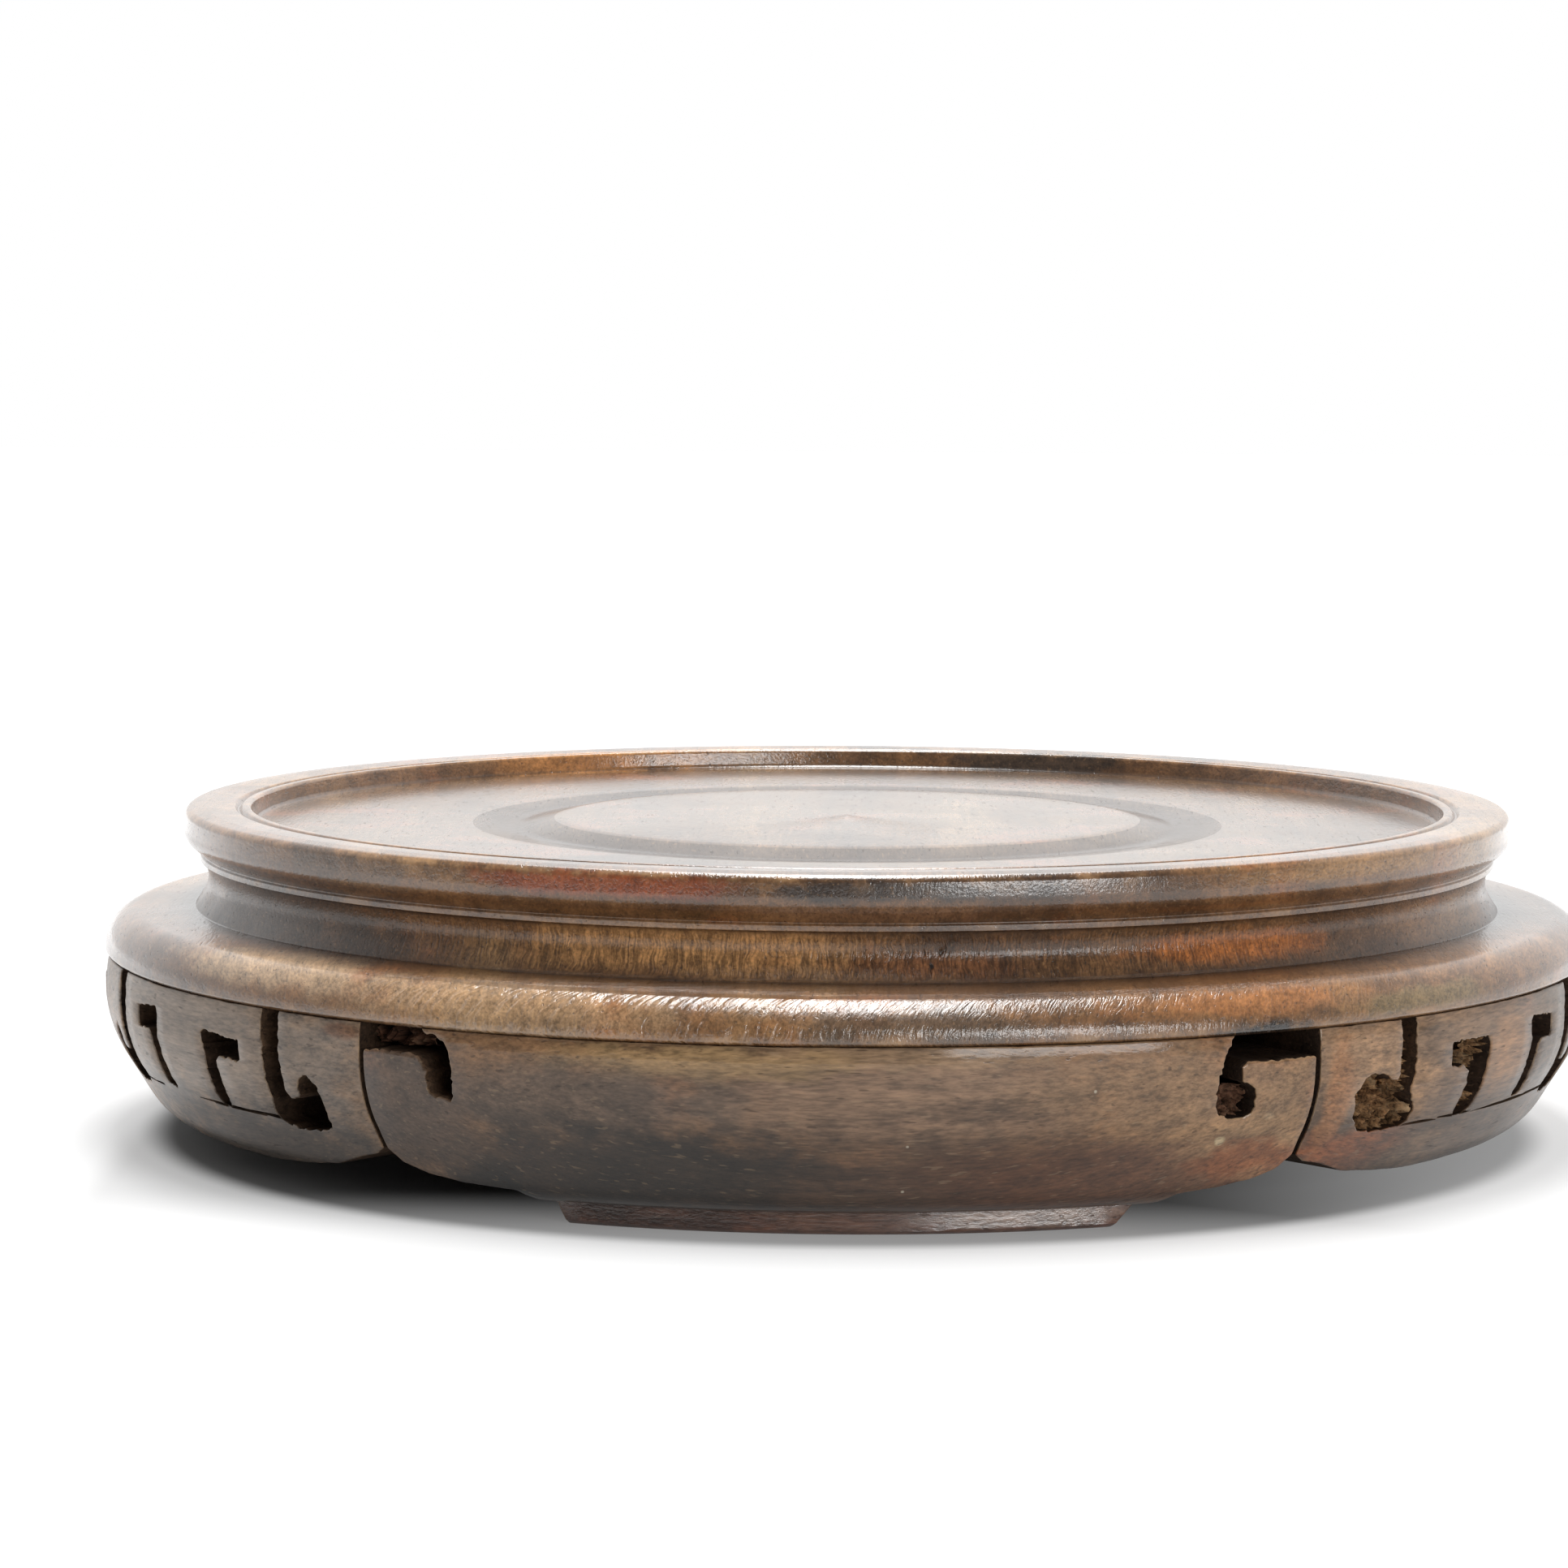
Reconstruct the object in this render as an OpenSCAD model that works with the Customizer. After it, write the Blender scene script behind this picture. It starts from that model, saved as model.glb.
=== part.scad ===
// Round hardwood stand: a turned, dished plate on a bulging apron of three feet and three pierced fret panels.
// The table is z = 0, the turning axis is Z, and the front foot faces -Y. Angles are counted from the front.

/* [Overall] */
// Diameter at the widest line, where the apron meets the plate
stand_d = 200; // [190:1:240]
// Height from the table to the top of the rim
stand_h = 44; // [43:0.5:60]

/* [Plate] */
// Bevel on both edges of the joint between plate and apron
edge_bevel = 0.6; // [0.2:0.1:1]
// Rounding of the shoulder's outer edge
shoulder_round = 5; // [3:0.1:5]
// Height of the shoulder's rounded edge above the joint
shoulder_h = 5.6; // [5.6:0.1:8]
// Rise of the shoulder from its rounded edge to the foot of the cove
shoulder_rise = 0.3; // [0:0.1:1]
// Diameter at the foot of the cove
cove_foot_d = 176; // [174:0.5:186]
// Diameter at the head of the cove
cove_head_d = 173.4; // [172:0.2:176]
// Depth of the cove's hollow
cove_depth = 1; // [0.4:0.1:2]
// Height of the rim above the head of the cove
rim_h = 7.2; // [7:0.1:9]
// Diameter over the rim
rim_d = 179; // [177:0.5:184]
// Rounding of the rim's upper edge
rim_round = 2; // [1:0.1:2.5]
// Rounding of the rim's face, from its widest line down
rim_under = 4.5; // [4:0.1:4.6]
// Height of the fillet under the rim
fillet_h = 0.9; // [0.5:0.1:1.2]
// Projection of the fillet from the head of the cove
fillet_out = 0.5; // [0.3:0.1:0.8]

/* [Dish] */
// Diameter of the dished recess
dish_d = 161; // [120:0.5:162]
// Depth of the recess at its outer floor
dish_depth = 2.6; // [1.5:0.1:5]
// Diameter of the raised middle
boss_d = 89; // [60:0.5:100]
// Height of the raised middle above the outer floor
boss_h = 0.6; // [0.3:0.1:1]
// Diameter of the middle of the shallow moat round the raised middle
moat_d = 94.6; // [94:0.2:104]
// Width of the moat
moat_w = 6; // [5.8:0.1:10]
// Depth of the moat below the outer floor
moat_depth = 0.8; // [0.4:0.1:1.5]
// Diameter of the quirk line in the rim's top
quirk_d = 166.4; // [165:0.2:170]
// Width of the quirk line
quirk_w = 1.6; // [0.8:0.1:2]
// Depth of the quirk line
quirk_depth = 0.8; // [0.4:0.1:1.5]

/* [Apron] */
// Height of the apron
apron_h = 21.6; // [20:0.1:24]
// Thickness of the apron's wall at the joint with the plate
wall_top = 12; // [11:0.1:14]
// Width of the flat land under the apron
land_w = 11.6; // [11:0.1:13]
// Height of the upright band at the top of the apron's face
band_h = 4.2; // [2:0.1:5]
// Radius of the bulge below the upright band
bulge_round = 16; // [14:0.1:18]
// Lean of the face below the bulge
bulge_lean = 32; // [28:0.5:34]
// Radius where the face turns under
under_round = 7.5; // [6:0.1:8]

/* [Segments] */
// Angle that the front foot segment covers
front_foot_span = 70.5; // [68:0.5:76]
// Angle that each fret panel covers
fret_span = 44; // [42:0.5:46]
// Width of the sawn line at the seams between segments
kerf_w = 0.8; // [0.4:0.1:1.2]
// Depth of the sawn line at the seams, from the widest line
kerf_depth = 7; // [5:0.1:8]

/* [Notches] */
// Height of the notch's point above the land
cusp_h = 5.7; // [5:0.1:6.5]
// Radius of the foot's lobe beside a seam
foot_lobe = 32; // [28:0.5:36]
// Distance from the seam to the end of the foot's lobe
foot_lobe_reach = 15; // [13:0.5:16]
// Height of the end of the foot's lobe above the land
foot_lobe_h = 1.9; // [1.5:0.1:2.5]
// Run of the slope from the end of the foot's lobe down to the land
pad_slope = 2.2; // [1:0.1:3]
// Radius of the fret panel's lobe beside a seam
fret_lobe = 46; // [42:0.5:50]
// Distance from the seam to where the fret panel's lobe meets the land
fret_lobe_reach = 17; // [15:0.5:19]

/* [Fret] */
// Angle from the panel's middle to each key's stem
key_angle = 4.5; // [4.2:0.1:5]
// Width of a key's stem
key_stem_w = 2.8; // [2:0.1:3.2]
// Length of a key's head
key_head_len = 9; // [7:0.1:9.5]
// Height of a key's head
key_head_h = 3.2; // [2.5:0.1:4]
// Height of a key's top above the land
key_top = 17.7; // [16:0.1:18.5]
// Overhang of a key's head towards the panel's middle
key_heel = 0.6; // [0.2:0.1:1]
// Lean of a key towards its head
key_lean = 2; // [0.5:0.5:5]
// Angle from the panel's middle to each hook's bar
hook_angle = 12.4; // [12:0.1:13]
// Width of a hook's bar
hook_w = 3.2; // [2.5:0.1:3.6]
// Reach of a hook's toe from the middle of its bar
hook_toe = 8.2; // [7:0.1:8.5]
// Height of a hook's toe
hook_toe_h = 3.4; // [2.5:0.1:4]
// Radius of the round end of a hook
hook_curl = 2.1; // [1.5:0.1:2.4]
// Height of the hook's round end above its toe
hook_curl_h = 1.6; // [1:0.1:2.5]
// Drop of a hook's toe below the scored line
hook_drop = 0.5; // [0.3:0.1:1]
// Height of the scored line along the foot of the fret, above the land
score_h = 7.6; // [7:0.1:8.5]
// Width of the scored line
score_w = 0.5; // [0.3:0.1:0.8]
// Depth of the scored line
score_depth = 0.8; // [0.4:0.1:1.5]

/* [Scrolls] */
// Length of a scroll's bar, from the seam
scroll_len = 13.4; // [12:0.1:14]
// Height of a scroll's bar
scroll_bar_h = 3.2; // [2.5:0.1:3.8]
// Radius of the corner between a scroll's bar and its drop
scroll_round = 4; // [3.6:0.1:4.4]
// Height by which the corner's arc runs out past the joint
scroll_open = 0.6; // [0.4:0.1:1]
// Width of a scroll's drop
scroll_drop_w = 3.9; // [3:0.1:4.2]
// Length of a scroll's drop below its bar
scroll_drop = 5.8; // [5:0.1:7]
// Radius of the curl at the end of a drop
scroll_curl = 2.2; // [1.8:0.1:2.6]

/* [Pads] */
// Height of a foot pad
pad_h = 3.2; // [2:0.1:5]
// Distance of a pad's outer face inside the outer edge of the land
pad_set = 1.8; // [1:0.1:2.6]
// Width of a pad from front to back
pad_w = 9; // [8:0.1:9.5]
// Length of a pad along its foot
pad_len = 69; // [60:0.5:70]
// Bevel along the pad's lower front edge
pad_bevel = 0.7; // [0.3:0.1:1.2]
// Slope of a pad's ends, from top to bottom
pad_end_slope = 1.6; // [0.5:0.1:3]

/* [Joinery] */
// Diameter of the pegs between apron and plate
peg_d = 5; // [4:0.1:5.5]
// Distance from the widest line to the middle of the pegs
peg_set = 7; // [6:0.1:8]
// Depth of a peg in the plate
peg_in_plate = 4; // [3:0.1:4.2]
// Depth of a peg in the apron
peg_in_apron = 8; // [6:0.1:9]
// Distance between pegs along a foot segment
foot_peg_gap = 29; // [24:0.5:32]
// Distance from a seam to the nearest peg of a fret panel
fret_peg_end = 4.7; // [4.4:0.1:5]
// Thickness of the loose tongues across the seams
tongue_t = 3; // [2:0.1:3.2]
// Height of a tongue
tongue_h = 7.5; // [6:0.1:8]
// Depth of a tongue in each segment
tongue_reach = 5; // [4:0.1:5.5]
// Distance from the widest line to the middle of the tongues
tongue_set = 12.5; // [12:0.1:13]
// Height of a tongue's lower edge above the land
tongue_rise = 7.3; // [7:0.1:8]
// Diameter of the pins between pads and feet
pin_d = 3; // [2:0.1:3.5]
// Distance from a pad's outer face to the middle of its pins
pin_set = 3; // [2.5:0.1:4]
// Depth of a pin in its pad
pin_in_pad = 2; // [1:0.1:2.4]
// Depth of a pin in its foot
pin_in_foot = 6; // [4:0.1:8]
// Distance between the two pins of a pad
pin_gap = 40; // [30:0.5:50]
// Clearance between a peg, pin or tongue and the sides of its hole
fit_gap = 0.1; // [0.05:0.01:0.2]
// Clearance at the bottom of a hole
end_gap = 0.3; // [0.1:0.1:0.5]

/* [Hidden] */
$fn = 96;
// Overshoot of a cut past the face that it leaves
past = 1;
// Number of planed facets that turn the apron's face under
facets = 6;

// Heights
land_z = pad_h;
joint_z = pad_h + apron_h;
shoulder_z = joint_z + shoulder_h;
cove_foot_z = shoulder_z + shoulder_rise;
cove_head_z = stand_h - rim_h;
floor_z = stand_h - dish_depth;
score_z = land_z + score_h;

// Radii
stand_r = stand_d / 2;
rim_r = rim_d / 2;
peg_line_r = stand_r - peg_set;
tongue_line_r = stand_r - tongue_set;

// Apron face: the bulge starts below the upright band and leans in to the radius that turns under
lean_dir = [cos(bulge_lean), -sin(bulge_lean)];
bulge_c = [stand_r - bulge_round, joint_z - band_h];
bulge_end = bulge_c + bulge_round * lean_dir;
under_start_z = land_z + under_round * (1 - sin(bulge_lean));
under_start = [bulge_end.x - (bulge_end.y - under_start_z) * tan(bulge_lean), under_start_z];
under_c = under_start - under_round * lean_dir;
land_out_r = under_c.x;
land_in_r = land_out_r - land_w;
wall_in_r = stand_r - wall_top;

// Pads and pins: set in from the edge of the land
pad_r = land_out_r - pad_set;
pin_line_r = pad_r - pin_set;

// Cove: a circle through the cove's foot and head, with the hollow's depth as its sagitta
cove_foot = [cove_foot_d / 2, cove_foot_z];
cove_head = [cove_head_d / 2, cove_head_z];
cove_chord = cove_head - cove_foot;
cove_half = norm(cove_chord) / 2;
cove_round = (cove_half * cove_half + cove_depth * cove_depth) / (2 * cove_depth);
cove_out = [cove_chord.y, -cove_chord.x] / norm(cove_chord);
cove_c = (cove_foot + cove_head) / 2 + (cove_round - cove_depth) * cove_out;

// Moat: a circle whose sagitta is the moat's depth
moat_round = (moat_w * moat_w / 4 + moat_depth * moat_depth) / (2 * moat_depth);

// Seams and middles of the segments
rear_foot_span = (360 - front_foot_span - 3 * fret_span) / 2;
front_seam = front_foot_span / 2;
middle_seam = front_seam + fret_span;
rear_seam = middle_seam + rear_foot_span;
side_fret = (front_seam + middle_seam) / 2;
rear_foot = (middle_seam + rear_seam) / 2;
rear_fret = 180;

// Spacing of a fret panel's pegs, from its middle to a place beside each seam
fret_peg_gap = fret_span / 2 * peg_line_r * PI / 180 - fret_peg_end;

// Reach of the radial cuts, from well inside the apron's hollow to outside its face
cut_in_r = land_in_r - land_w / 2;
cut_len = stand_r + past - cut_in_r;

// Colours
plate_brown = [0.34, 0.21, 0.13];
apron_brown = [0.31, 0.20, 0.13];
fret_brown = [0.28, 0.19, 0.13];
pad_red_brown = [0.27, 0.15, 0.11];
peg_straw = [0.62, 0.47, 0.28];

// Angle covered by a length along a circle
function arc_angle(len, r) = len / r * 180 / PI;

// Centre of a circle of a given radius through two points, on the left of the way from one to the other
function arc_centre(from, to, r) =
    let (chord = to - from, half = norm(chord) / 2)
    (from + to) / 2 + sqrt(r * r - half * half) * [-chord.y, chord.x] / norm(chord);

// Points of the facets that a plane leaves along an arc of a circle, from one direction to another
function facet_points(c, r, from, to) =
    [for (i = [0 : facets]) let (a = from + (to - from) * i / facets) c + r * [cos(a), sin(a)]];

// Turns children from the front to an angle about the axis
module at(angle) {
    rotate([0, 0, angle]) children();
}

// Flips children left to right when side is negative
module handed(side) {
    mirror([side < 0 ? 1 : 0, 0, 0]) children();
}

// Cuts a flat outline, drawn as seen from outside, straight through the apron's wall
module radial_cut() {
    translate([0, -cut_in_r, 0]) rotate([90, 0, 0]) linear_extrude(cut_len) children();
}

// Sweeps a profile about the axis from one angle to another
module sweep(from, to) {
    rotate([0, 0, from - 90]) rotate_extrude(angle = to - from) children();
}

// Quarter of a disc in the quadrant that the two signs give
module quarter(r, sx, sy) {
    intersection() {
        circle(r);
        translate([sx < 0 ? -r : 0, sy < 0 ? -r : 0]) square(r);
    }
}

// Slice of a disc between two directions less than a half turn apart
module slice(r, from, to) {
    intersection() {
        circle(r);
        polygon([[0, 0], 2 * r * [cos(from), sin(from)], 2 * r * [cos(to), sin(to)]]);
    }
}

// Half section of the plate up to the head of the cove
module shoulder_section() {
    difference() {
        union() {
            polygon([
                [0, joint_z],
                [stand_r - edge_bevel, joint_z],
                [stand_r, joint_z + edge_bevel],
                [stand_r, shoulder_z - shoulder_round],
                [stand_r - shoulder_round, shoulder_z - shoulder_round],
                [stand_r - shoulder_round, shoulder_z],
                cove_foot + [past / 2, 0],
                cove_foot + [past / 2, past],
                [cove_head.x + fillet_out / 4, cove_head_z + fillet_h / 2],
                [0, cove_head_z + fillet_h / 2],
            ]);
            translate([stand_r - shoulder_round, shoulder_z - shoulder_round]) quarter(shoulder_round, 1, 1);
        }
        intersection() {
            translate(cove_c) circle(cove_round);
            translate([0, cove_foot_z]) square([cove_foot.x + past, stand_h]);
        }
    }
}

// Half section of the rim above the cove, with its fillet below and its quirk line on top
module rim_section() {
    crown = [rim_r - rim_round, stand_h - rim_round];
    quirk_half = quirk_w / 2 * (1 + past / quirk_depth);
    difference() {
        union() {
            polygon([
                [0, cove_head_z],
                [cove_head.x + fillet_out, cove_head_z],
                [cove_head.x + fillet_out, cove_head_z + fillet_h],
                [cove_head.x, cove_head_z + fillet_h],
                [cove_head.x, crown.y],
                crown,
                [crown.x, stand_h],
                [0, stand_h],
            ]);
            translate(crown) quarter(rim_round, 1, 1);
            translate([rim_r - rim_under, crown.y]) quarter(rim_under, 1, -1);
        }
        polygon([
            [quirk_d / 2, stand_h - quirk_depth],
            [quirk_d / 2 + quirk_half, stand_h + past],
            [quirk_d / 2 - quirk_half, stand_h + past],
        ]);
    }
}

// Half section of the space in the dish, down to the floor, the moat and the raised middle
module dish_section() {
    difference() {
        union() {
            translate([0, floor_z]) square([dish_d / 2, dish_depth + past]);
            translate([moat_d / 2, floor_z - moat_depth + moat_round]) circle(moat_round);
        }
        polygon([
            [0, floor_z - past],
            [boss_d / 2 + past, floor_z - past],
            [boss_d / 2 - boss_h, floor_z + boss_h],
            [0, floor_z + boss_h],
        ]);
    }
}

// Half section of the apron's wall
module apron_section() {
    difference() {
        union() {
            polygon(concat(
                [[land_in_r, land_z]],
                facet_points(under_c, under_round, -90, -bulge_lean),
                [
                    bulge_end,
                    [stand_r, bulge_c.y],
                    [stand_r, joint_z - edge_bevel],
                    [stand_r - edge_bevel, joint_z],
                    [land_in_r, joint_z],
                ]
            ));
            translate(bulge_c) slice(bulge_round, -bulge_lean, 0);
        }
        polygon([
            [0, land_z - past],
            [land_in_r, land_z - past],
            [land_in_r, land_z],
            [wall_in_r, joint_z],
            [wall_in_r, joint_z + past],
            [0, joint_z + past],
        ]);
    }
}

// Half section of the line scored along the foot of the fret
module score_section() {
    difference() {
        translate([wall_in_r, score_z - score_w / 2]) square([wall_top + past, score_w]);
        translate([-score_depth, 0]) apron_section();
    }
}

// Outline of the foot's side of the pointed notch under a seam at x = 0, with the foot on the left
module foot_notch_outline() {
    cusp = [0, land_z + cusp_h];
    lobe_end = [-foot_lobe_reach, land_z + foot_lobe_h];
    slope = pad_slope / foot_lobe_h;
    top_z = cusp.y + past;
    low_z = land_z - past;
    difference() {
        polygon([
            [lobe_end.x - slope * (lobe_end.y - low_z), low_z],
            [lobe_end.x + slope * (top_z - lobe_end.y), top_z],
            [past, top_z],
            [past, low_z],
        ]);
        translate(arc_centre(lobe_end, cusp, foot_lobe)) circle(foot_lobe);
    }
}

// Outline of the fret panel's side of the notch under a seam at x = 0, with the panel on the right
module fret_notch_outline() {
    cusp = [0, land_z + cusp_h];
    lobe_end = [fret_lobe_reach, land_z];
    difference() {
        translate([-past, land_z - past]) square([fret_lobe_reach + 2 * past, cusp_h + 2 * past]);
        translate(arc_centre(cusp, lobe_end, fret_lobe)) circle(fret_lobe);
    }
}

// Outline of a foot's scroll: a bar from the seam at x = 0, a rounded corner and a drop with a curl or a plain end
module scroll_outline(curled) {
    bar_z = joint_z - scroll_bar_h;
    drop_z = bar_z - scroll_drop;
    corner = [-scroll_len + scroll_round, joint_z + scroll_open - scroll_round];
    translate([corner.x, bar_z]) square([past - corner.x, scroll_bar_h + past]);
    translate(corner) quarter(scroll_round, -1, 1);
    translate([-scroll_len, drop_z]) square([scroll_drop_w, corner.y - drop_z]);
    if (curled) {
        translate([-scroll_len + scroll_drop_w - scroll_curl / 2, drop_z + scroll_curl / 2]) circle(scroll_curl);
    }
}

// Outline of a fret key, with its head to the right
module key_outline() {
    key_h = key_top - score_h;
    translate([0, score_z]) rotate(-key_lean) {
        translate([-key_stem_w / 2, 0]) square([key_stem_w, key_h]);
        translate([-key_stem_w / 2 - key_heel, key_h - key_head_h]) square([key_head_len, key_head_h]);
    }
}

// Outline of a fret hook, with its toe to the right
module hook_outline() {
    toe_z = score_z - hook_drop;
    curl_x = hook_toe - hook_curl;
    curl_z = toe_z + hook_toe_h + hook_curl_h;
    translate([-hook_w / 2, toe_z]) square([hook_w, joint_z + past - toe_z]);
    translate([-hook_w / 2, toe_z]) square([hook_w / 2 + hook_toe, hook_toe_h]);
    translate([curl_x - hook_curl, toe_z]) square([2 * hook_curl, curl_z - toe_z]);
    translate([curl_x, curl_z]) circle(hook_curl);
}

// Sawn line and mortise at a seam at the front
module seam_cuts() {
    kerf_z = land_z + cusp_h / 2;
    translate([-kerf_w / 2, -stand_r - past, kerf_z]) cube([kerf_w, kerf_depth + past, joint_z + past / 2 - kerf_z]);
    tongue_block(fit_gap, end_gap);
}

// Loose tongue across a seam at the front, grown by a side gap and an end gap for its mortise
module tongue_block(side = 0, end = 0) {
    size = [2 * (tongue_reach + end), tongue_t + side, tongue_h + side];
    translate([-size.x / 2, -tongue_line_r - size.y / 2, land_z + tongue_rise - side / 2]) cube(size);
}

// Row of places along a circle, with children at the same spacing on both sides of an angle
module row(middle, count, gap, r) {
    step = arc_angle(gap, r);
    for (i = [0 : count - 1]) at(middle + (i - (count - 1) / 2) * step) translate([0, -r, 0]) children();
}

// Round peg across a face at a height, with a depth above and below it, grown by gaps for its hole
module peg(d, below, above, z, side = 0, end = 0) {
    translate([0, 0, z - below - end]) cylinder(d = d + side, h = below + above + 2 * end);
}

// Pegs of one segment, or their holes
module pegs(middle, gap, side = 0, end = 0) {
    row(middle, 3, gap, peg_line_r) peg(peg_d, peg_in_apron, peg_in_plate, joint_z, side, end);
}

// Pins of one pad, or their holes
module pins(middle, side = 0, end = 0) {
    row(middle, 2, pin_gap, pin_line_r) peg(pin_d, pin_in_pad, pin_in_foot, land_z, side, end);
}

// Plain-faced foot segment, with scrolls at its ends that may be curled or plain
module foot_segment(middle, span, left_curl = true, right_curl = true) {
    color(apron_brown) difference() {
        sweep(middle - span / 2, middle + span / 2) apron_section();
        for (side = [-1, 1]) at(middle + side * span / 2) handed(side) {
            seam_cuts();
            radial_cut() foot_notch_outline();
            radial_cut() scroll_outline(side < 0 ? left_curl : right_curl);
        }
        pegs(middle, foot_peg_gap, fit_gap, end_gap);
        pins(middle, fit_gap, end_gap);
    }
}

// Fret panel with two keys back to back between two hooks
module fret_panel(middle) {
    color(fret_brown) difference() {
        sweep(middle - fret_span / 2, middle + fret_span / 2) apron_section();
        for (side = [-1, 1]) {
            at(middle + side * fret_span / 2) handed(-side) {
                seam_cuts();
                radial_cut() fret_notch_outline();
            }
            at(middle + side * key_angle) handed(side) radial_cut() key_outline();
            at(middle + side * hook_angle) handed(side) radial_cut() hook_outline();
        }
        sweep(middle - hook_angle, middle + hook_angle) score_section();
        pegs(middle, fret_peg_gap, fit_gap, end_gap);
    }
}

// Thin pad under a foot, with a bevelled lower edge and sloping ends
module foot_pad(middle) {
    half = arc_angle(pad_len, pad_r) / 2;
    color(pad_red_brown) difference() {
        sweep(middle - half, middle + half) polygon([
            [pad_r - pad_w, 0],
            [pad_r - pad_bevel, 0],
            [pad_r, pad_bevel],
            [pad_r, pad_h],
            [pad_r - pad_w, pad_h],
        ]);
        for (side = [-1, 1]) at(middle + side * half) handed(side) radial_cut()
            polygon([[0, pad_h], [-pad_end_slope, 0], [-pad_end_slope, -past], [past, -past], [past, pad_h]]);
        pins(middle, fit_gap, end_gap);
    }
}

// Turned plate with the dish in its top and the peg holes in its underside
module top_plate() {
    color(plate_brown) difference() {
        rotate_extrude() difference() {
            union() {
                shoulder_section();
                rim_section();
            }
            dish_section();
        }
        for (middle = [0, rear_foot, -rear_foot]) pegs(middle, foot_peg_gap, fit_gap, end_gap);
        for (middle = [side_fret, rear_fret, -side_fret]) pegs(middle, fret_peg_gap, fit_gap, end_gap);
    }
}

// Loose tongue at a seam
module tongue(angle) {
    color(peg_straw) at(angle) tongue_block();
}

top_plate();
foot_segment(0, front_foot_span, left_curl = false);  // foot_segment_front
foot_segment(rear_foot, rear_foot_span);  // foot_segment_rear_right
foot_segment(-rear_foot, rear_foot_span);  // foot_segment_rear_left
fret_panel(side_fret);  // fret_panel_right
fret_panel(rear_fret);  // fret_panel_rear
fret_panel(-side_fret);  // fret_panel_left
foot_pad(0);  // foot_pad_front
foot_pad(rear_foot);  // foot_pad_rear_right
foot_pad(-rear_foot);  // foot_pad_rear_left
tongue(front_seam);  // tongue_front_right
tongue(middle_seam);  // tongue_middle_right
tongue(rear_seam);  // tongue_rear_right
tongue(-rear_seam);  // tongue_rear_left
tongue(-middle_seam);  // tongue_middle_left
tongue(-front_seam);  // tongue_front_left
color(peg_straw) pegs(0, foot_peg_gap);  // pegs_foot_front
color(peg_straw) pegs(rear_foot, foot_peg_gap);  // pegs_foot_rear_right
color(peg_straw) pegs(-rear_foot, foot_peg_gap);  // pegs_foot_rear_left
color(peg_straw) pegs(side_fret, fret_peg_gap);  // pegs_fret_right
color(peg_straw) pegs(rear_fret, fret_peg_gap);  // pegs_fret_rear
color(peg_straw) pegs(-side_fret, fret_peg_gap);  // pegs_fret_left
color(peg_straw) pins(0);  // pad_pins_front
color(peg_straw) pins(rear_foot);  // pad_pins_rear_right
color(peg_straw) pins(-rear_foot);  // pad_pins_rear_left
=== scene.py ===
"""Round hardwood stand: a turned, dished plate on a bulging apron of three feet and three pierced fret panels."""

import logging
import math
from collections import Counter
from dataclasses import dataclass, field, replace
from enum import Enum
from typing import Iterable, Optional, Sequence

import bpy
from mathutils import Matrix, Vector, noise

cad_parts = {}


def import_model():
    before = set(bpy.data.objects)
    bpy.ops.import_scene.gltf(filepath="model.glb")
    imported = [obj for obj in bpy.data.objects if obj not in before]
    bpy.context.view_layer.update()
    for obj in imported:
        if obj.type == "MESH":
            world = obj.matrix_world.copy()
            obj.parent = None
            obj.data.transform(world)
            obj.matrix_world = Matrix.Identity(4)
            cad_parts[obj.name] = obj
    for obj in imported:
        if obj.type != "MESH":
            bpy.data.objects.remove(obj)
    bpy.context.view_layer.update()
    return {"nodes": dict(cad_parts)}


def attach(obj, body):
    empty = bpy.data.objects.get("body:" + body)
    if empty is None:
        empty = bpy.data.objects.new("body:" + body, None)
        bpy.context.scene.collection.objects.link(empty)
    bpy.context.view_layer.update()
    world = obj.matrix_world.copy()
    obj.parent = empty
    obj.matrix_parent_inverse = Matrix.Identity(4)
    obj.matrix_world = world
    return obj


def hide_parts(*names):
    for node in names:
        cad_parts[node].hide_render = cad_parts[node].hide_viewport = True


LOG = logging.getLogger("stand")
MM = 0.001
FACE_R = 97.0
PHOTO_WIDTH = 1932
NOISE_SEED = 1
SWAY_PITCH = 0.28
FRAY_PITCH = 1.7
FRAY_SHIFT = 7.0
MITRE_LEAST = 0.05
SIDE_LEAST = 0.15
COAT_IOR = 1.65
BUMP_DEPTH = 0.10
WHITE = (1.0, 1.0, 1.0)
RANGE_KEYS = ("Value", "From Min", "From Max", "To Min", "To Max")
JOINERY_NAMES = ("tongue", "pegs", "pad_pins")
Point = tuple[float, float]
Colour = tuple[float, float, float]
Place = tuple[float, float, float]
Piece = bpy.types.Object
Socket = bpy.types.NodeSocket
Material = bpy.types.Material


class Wood(Enum):
    """Kinds of wood of the stand's pieces."""

    PLATE = "plate_wood"
    APRON = "apron_wood"
    FRET = "fret_wood"
    PAD = "pad_wood"
    JOINERY = "joinery_wood"


@dataclass(frozen=True)
class Corner:
    """Corner of an outline in millimetres, or in degrees and millimetres, with its rounding in millimetres."""

    x: float
    y: float
    round: float = 0.0


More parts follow.
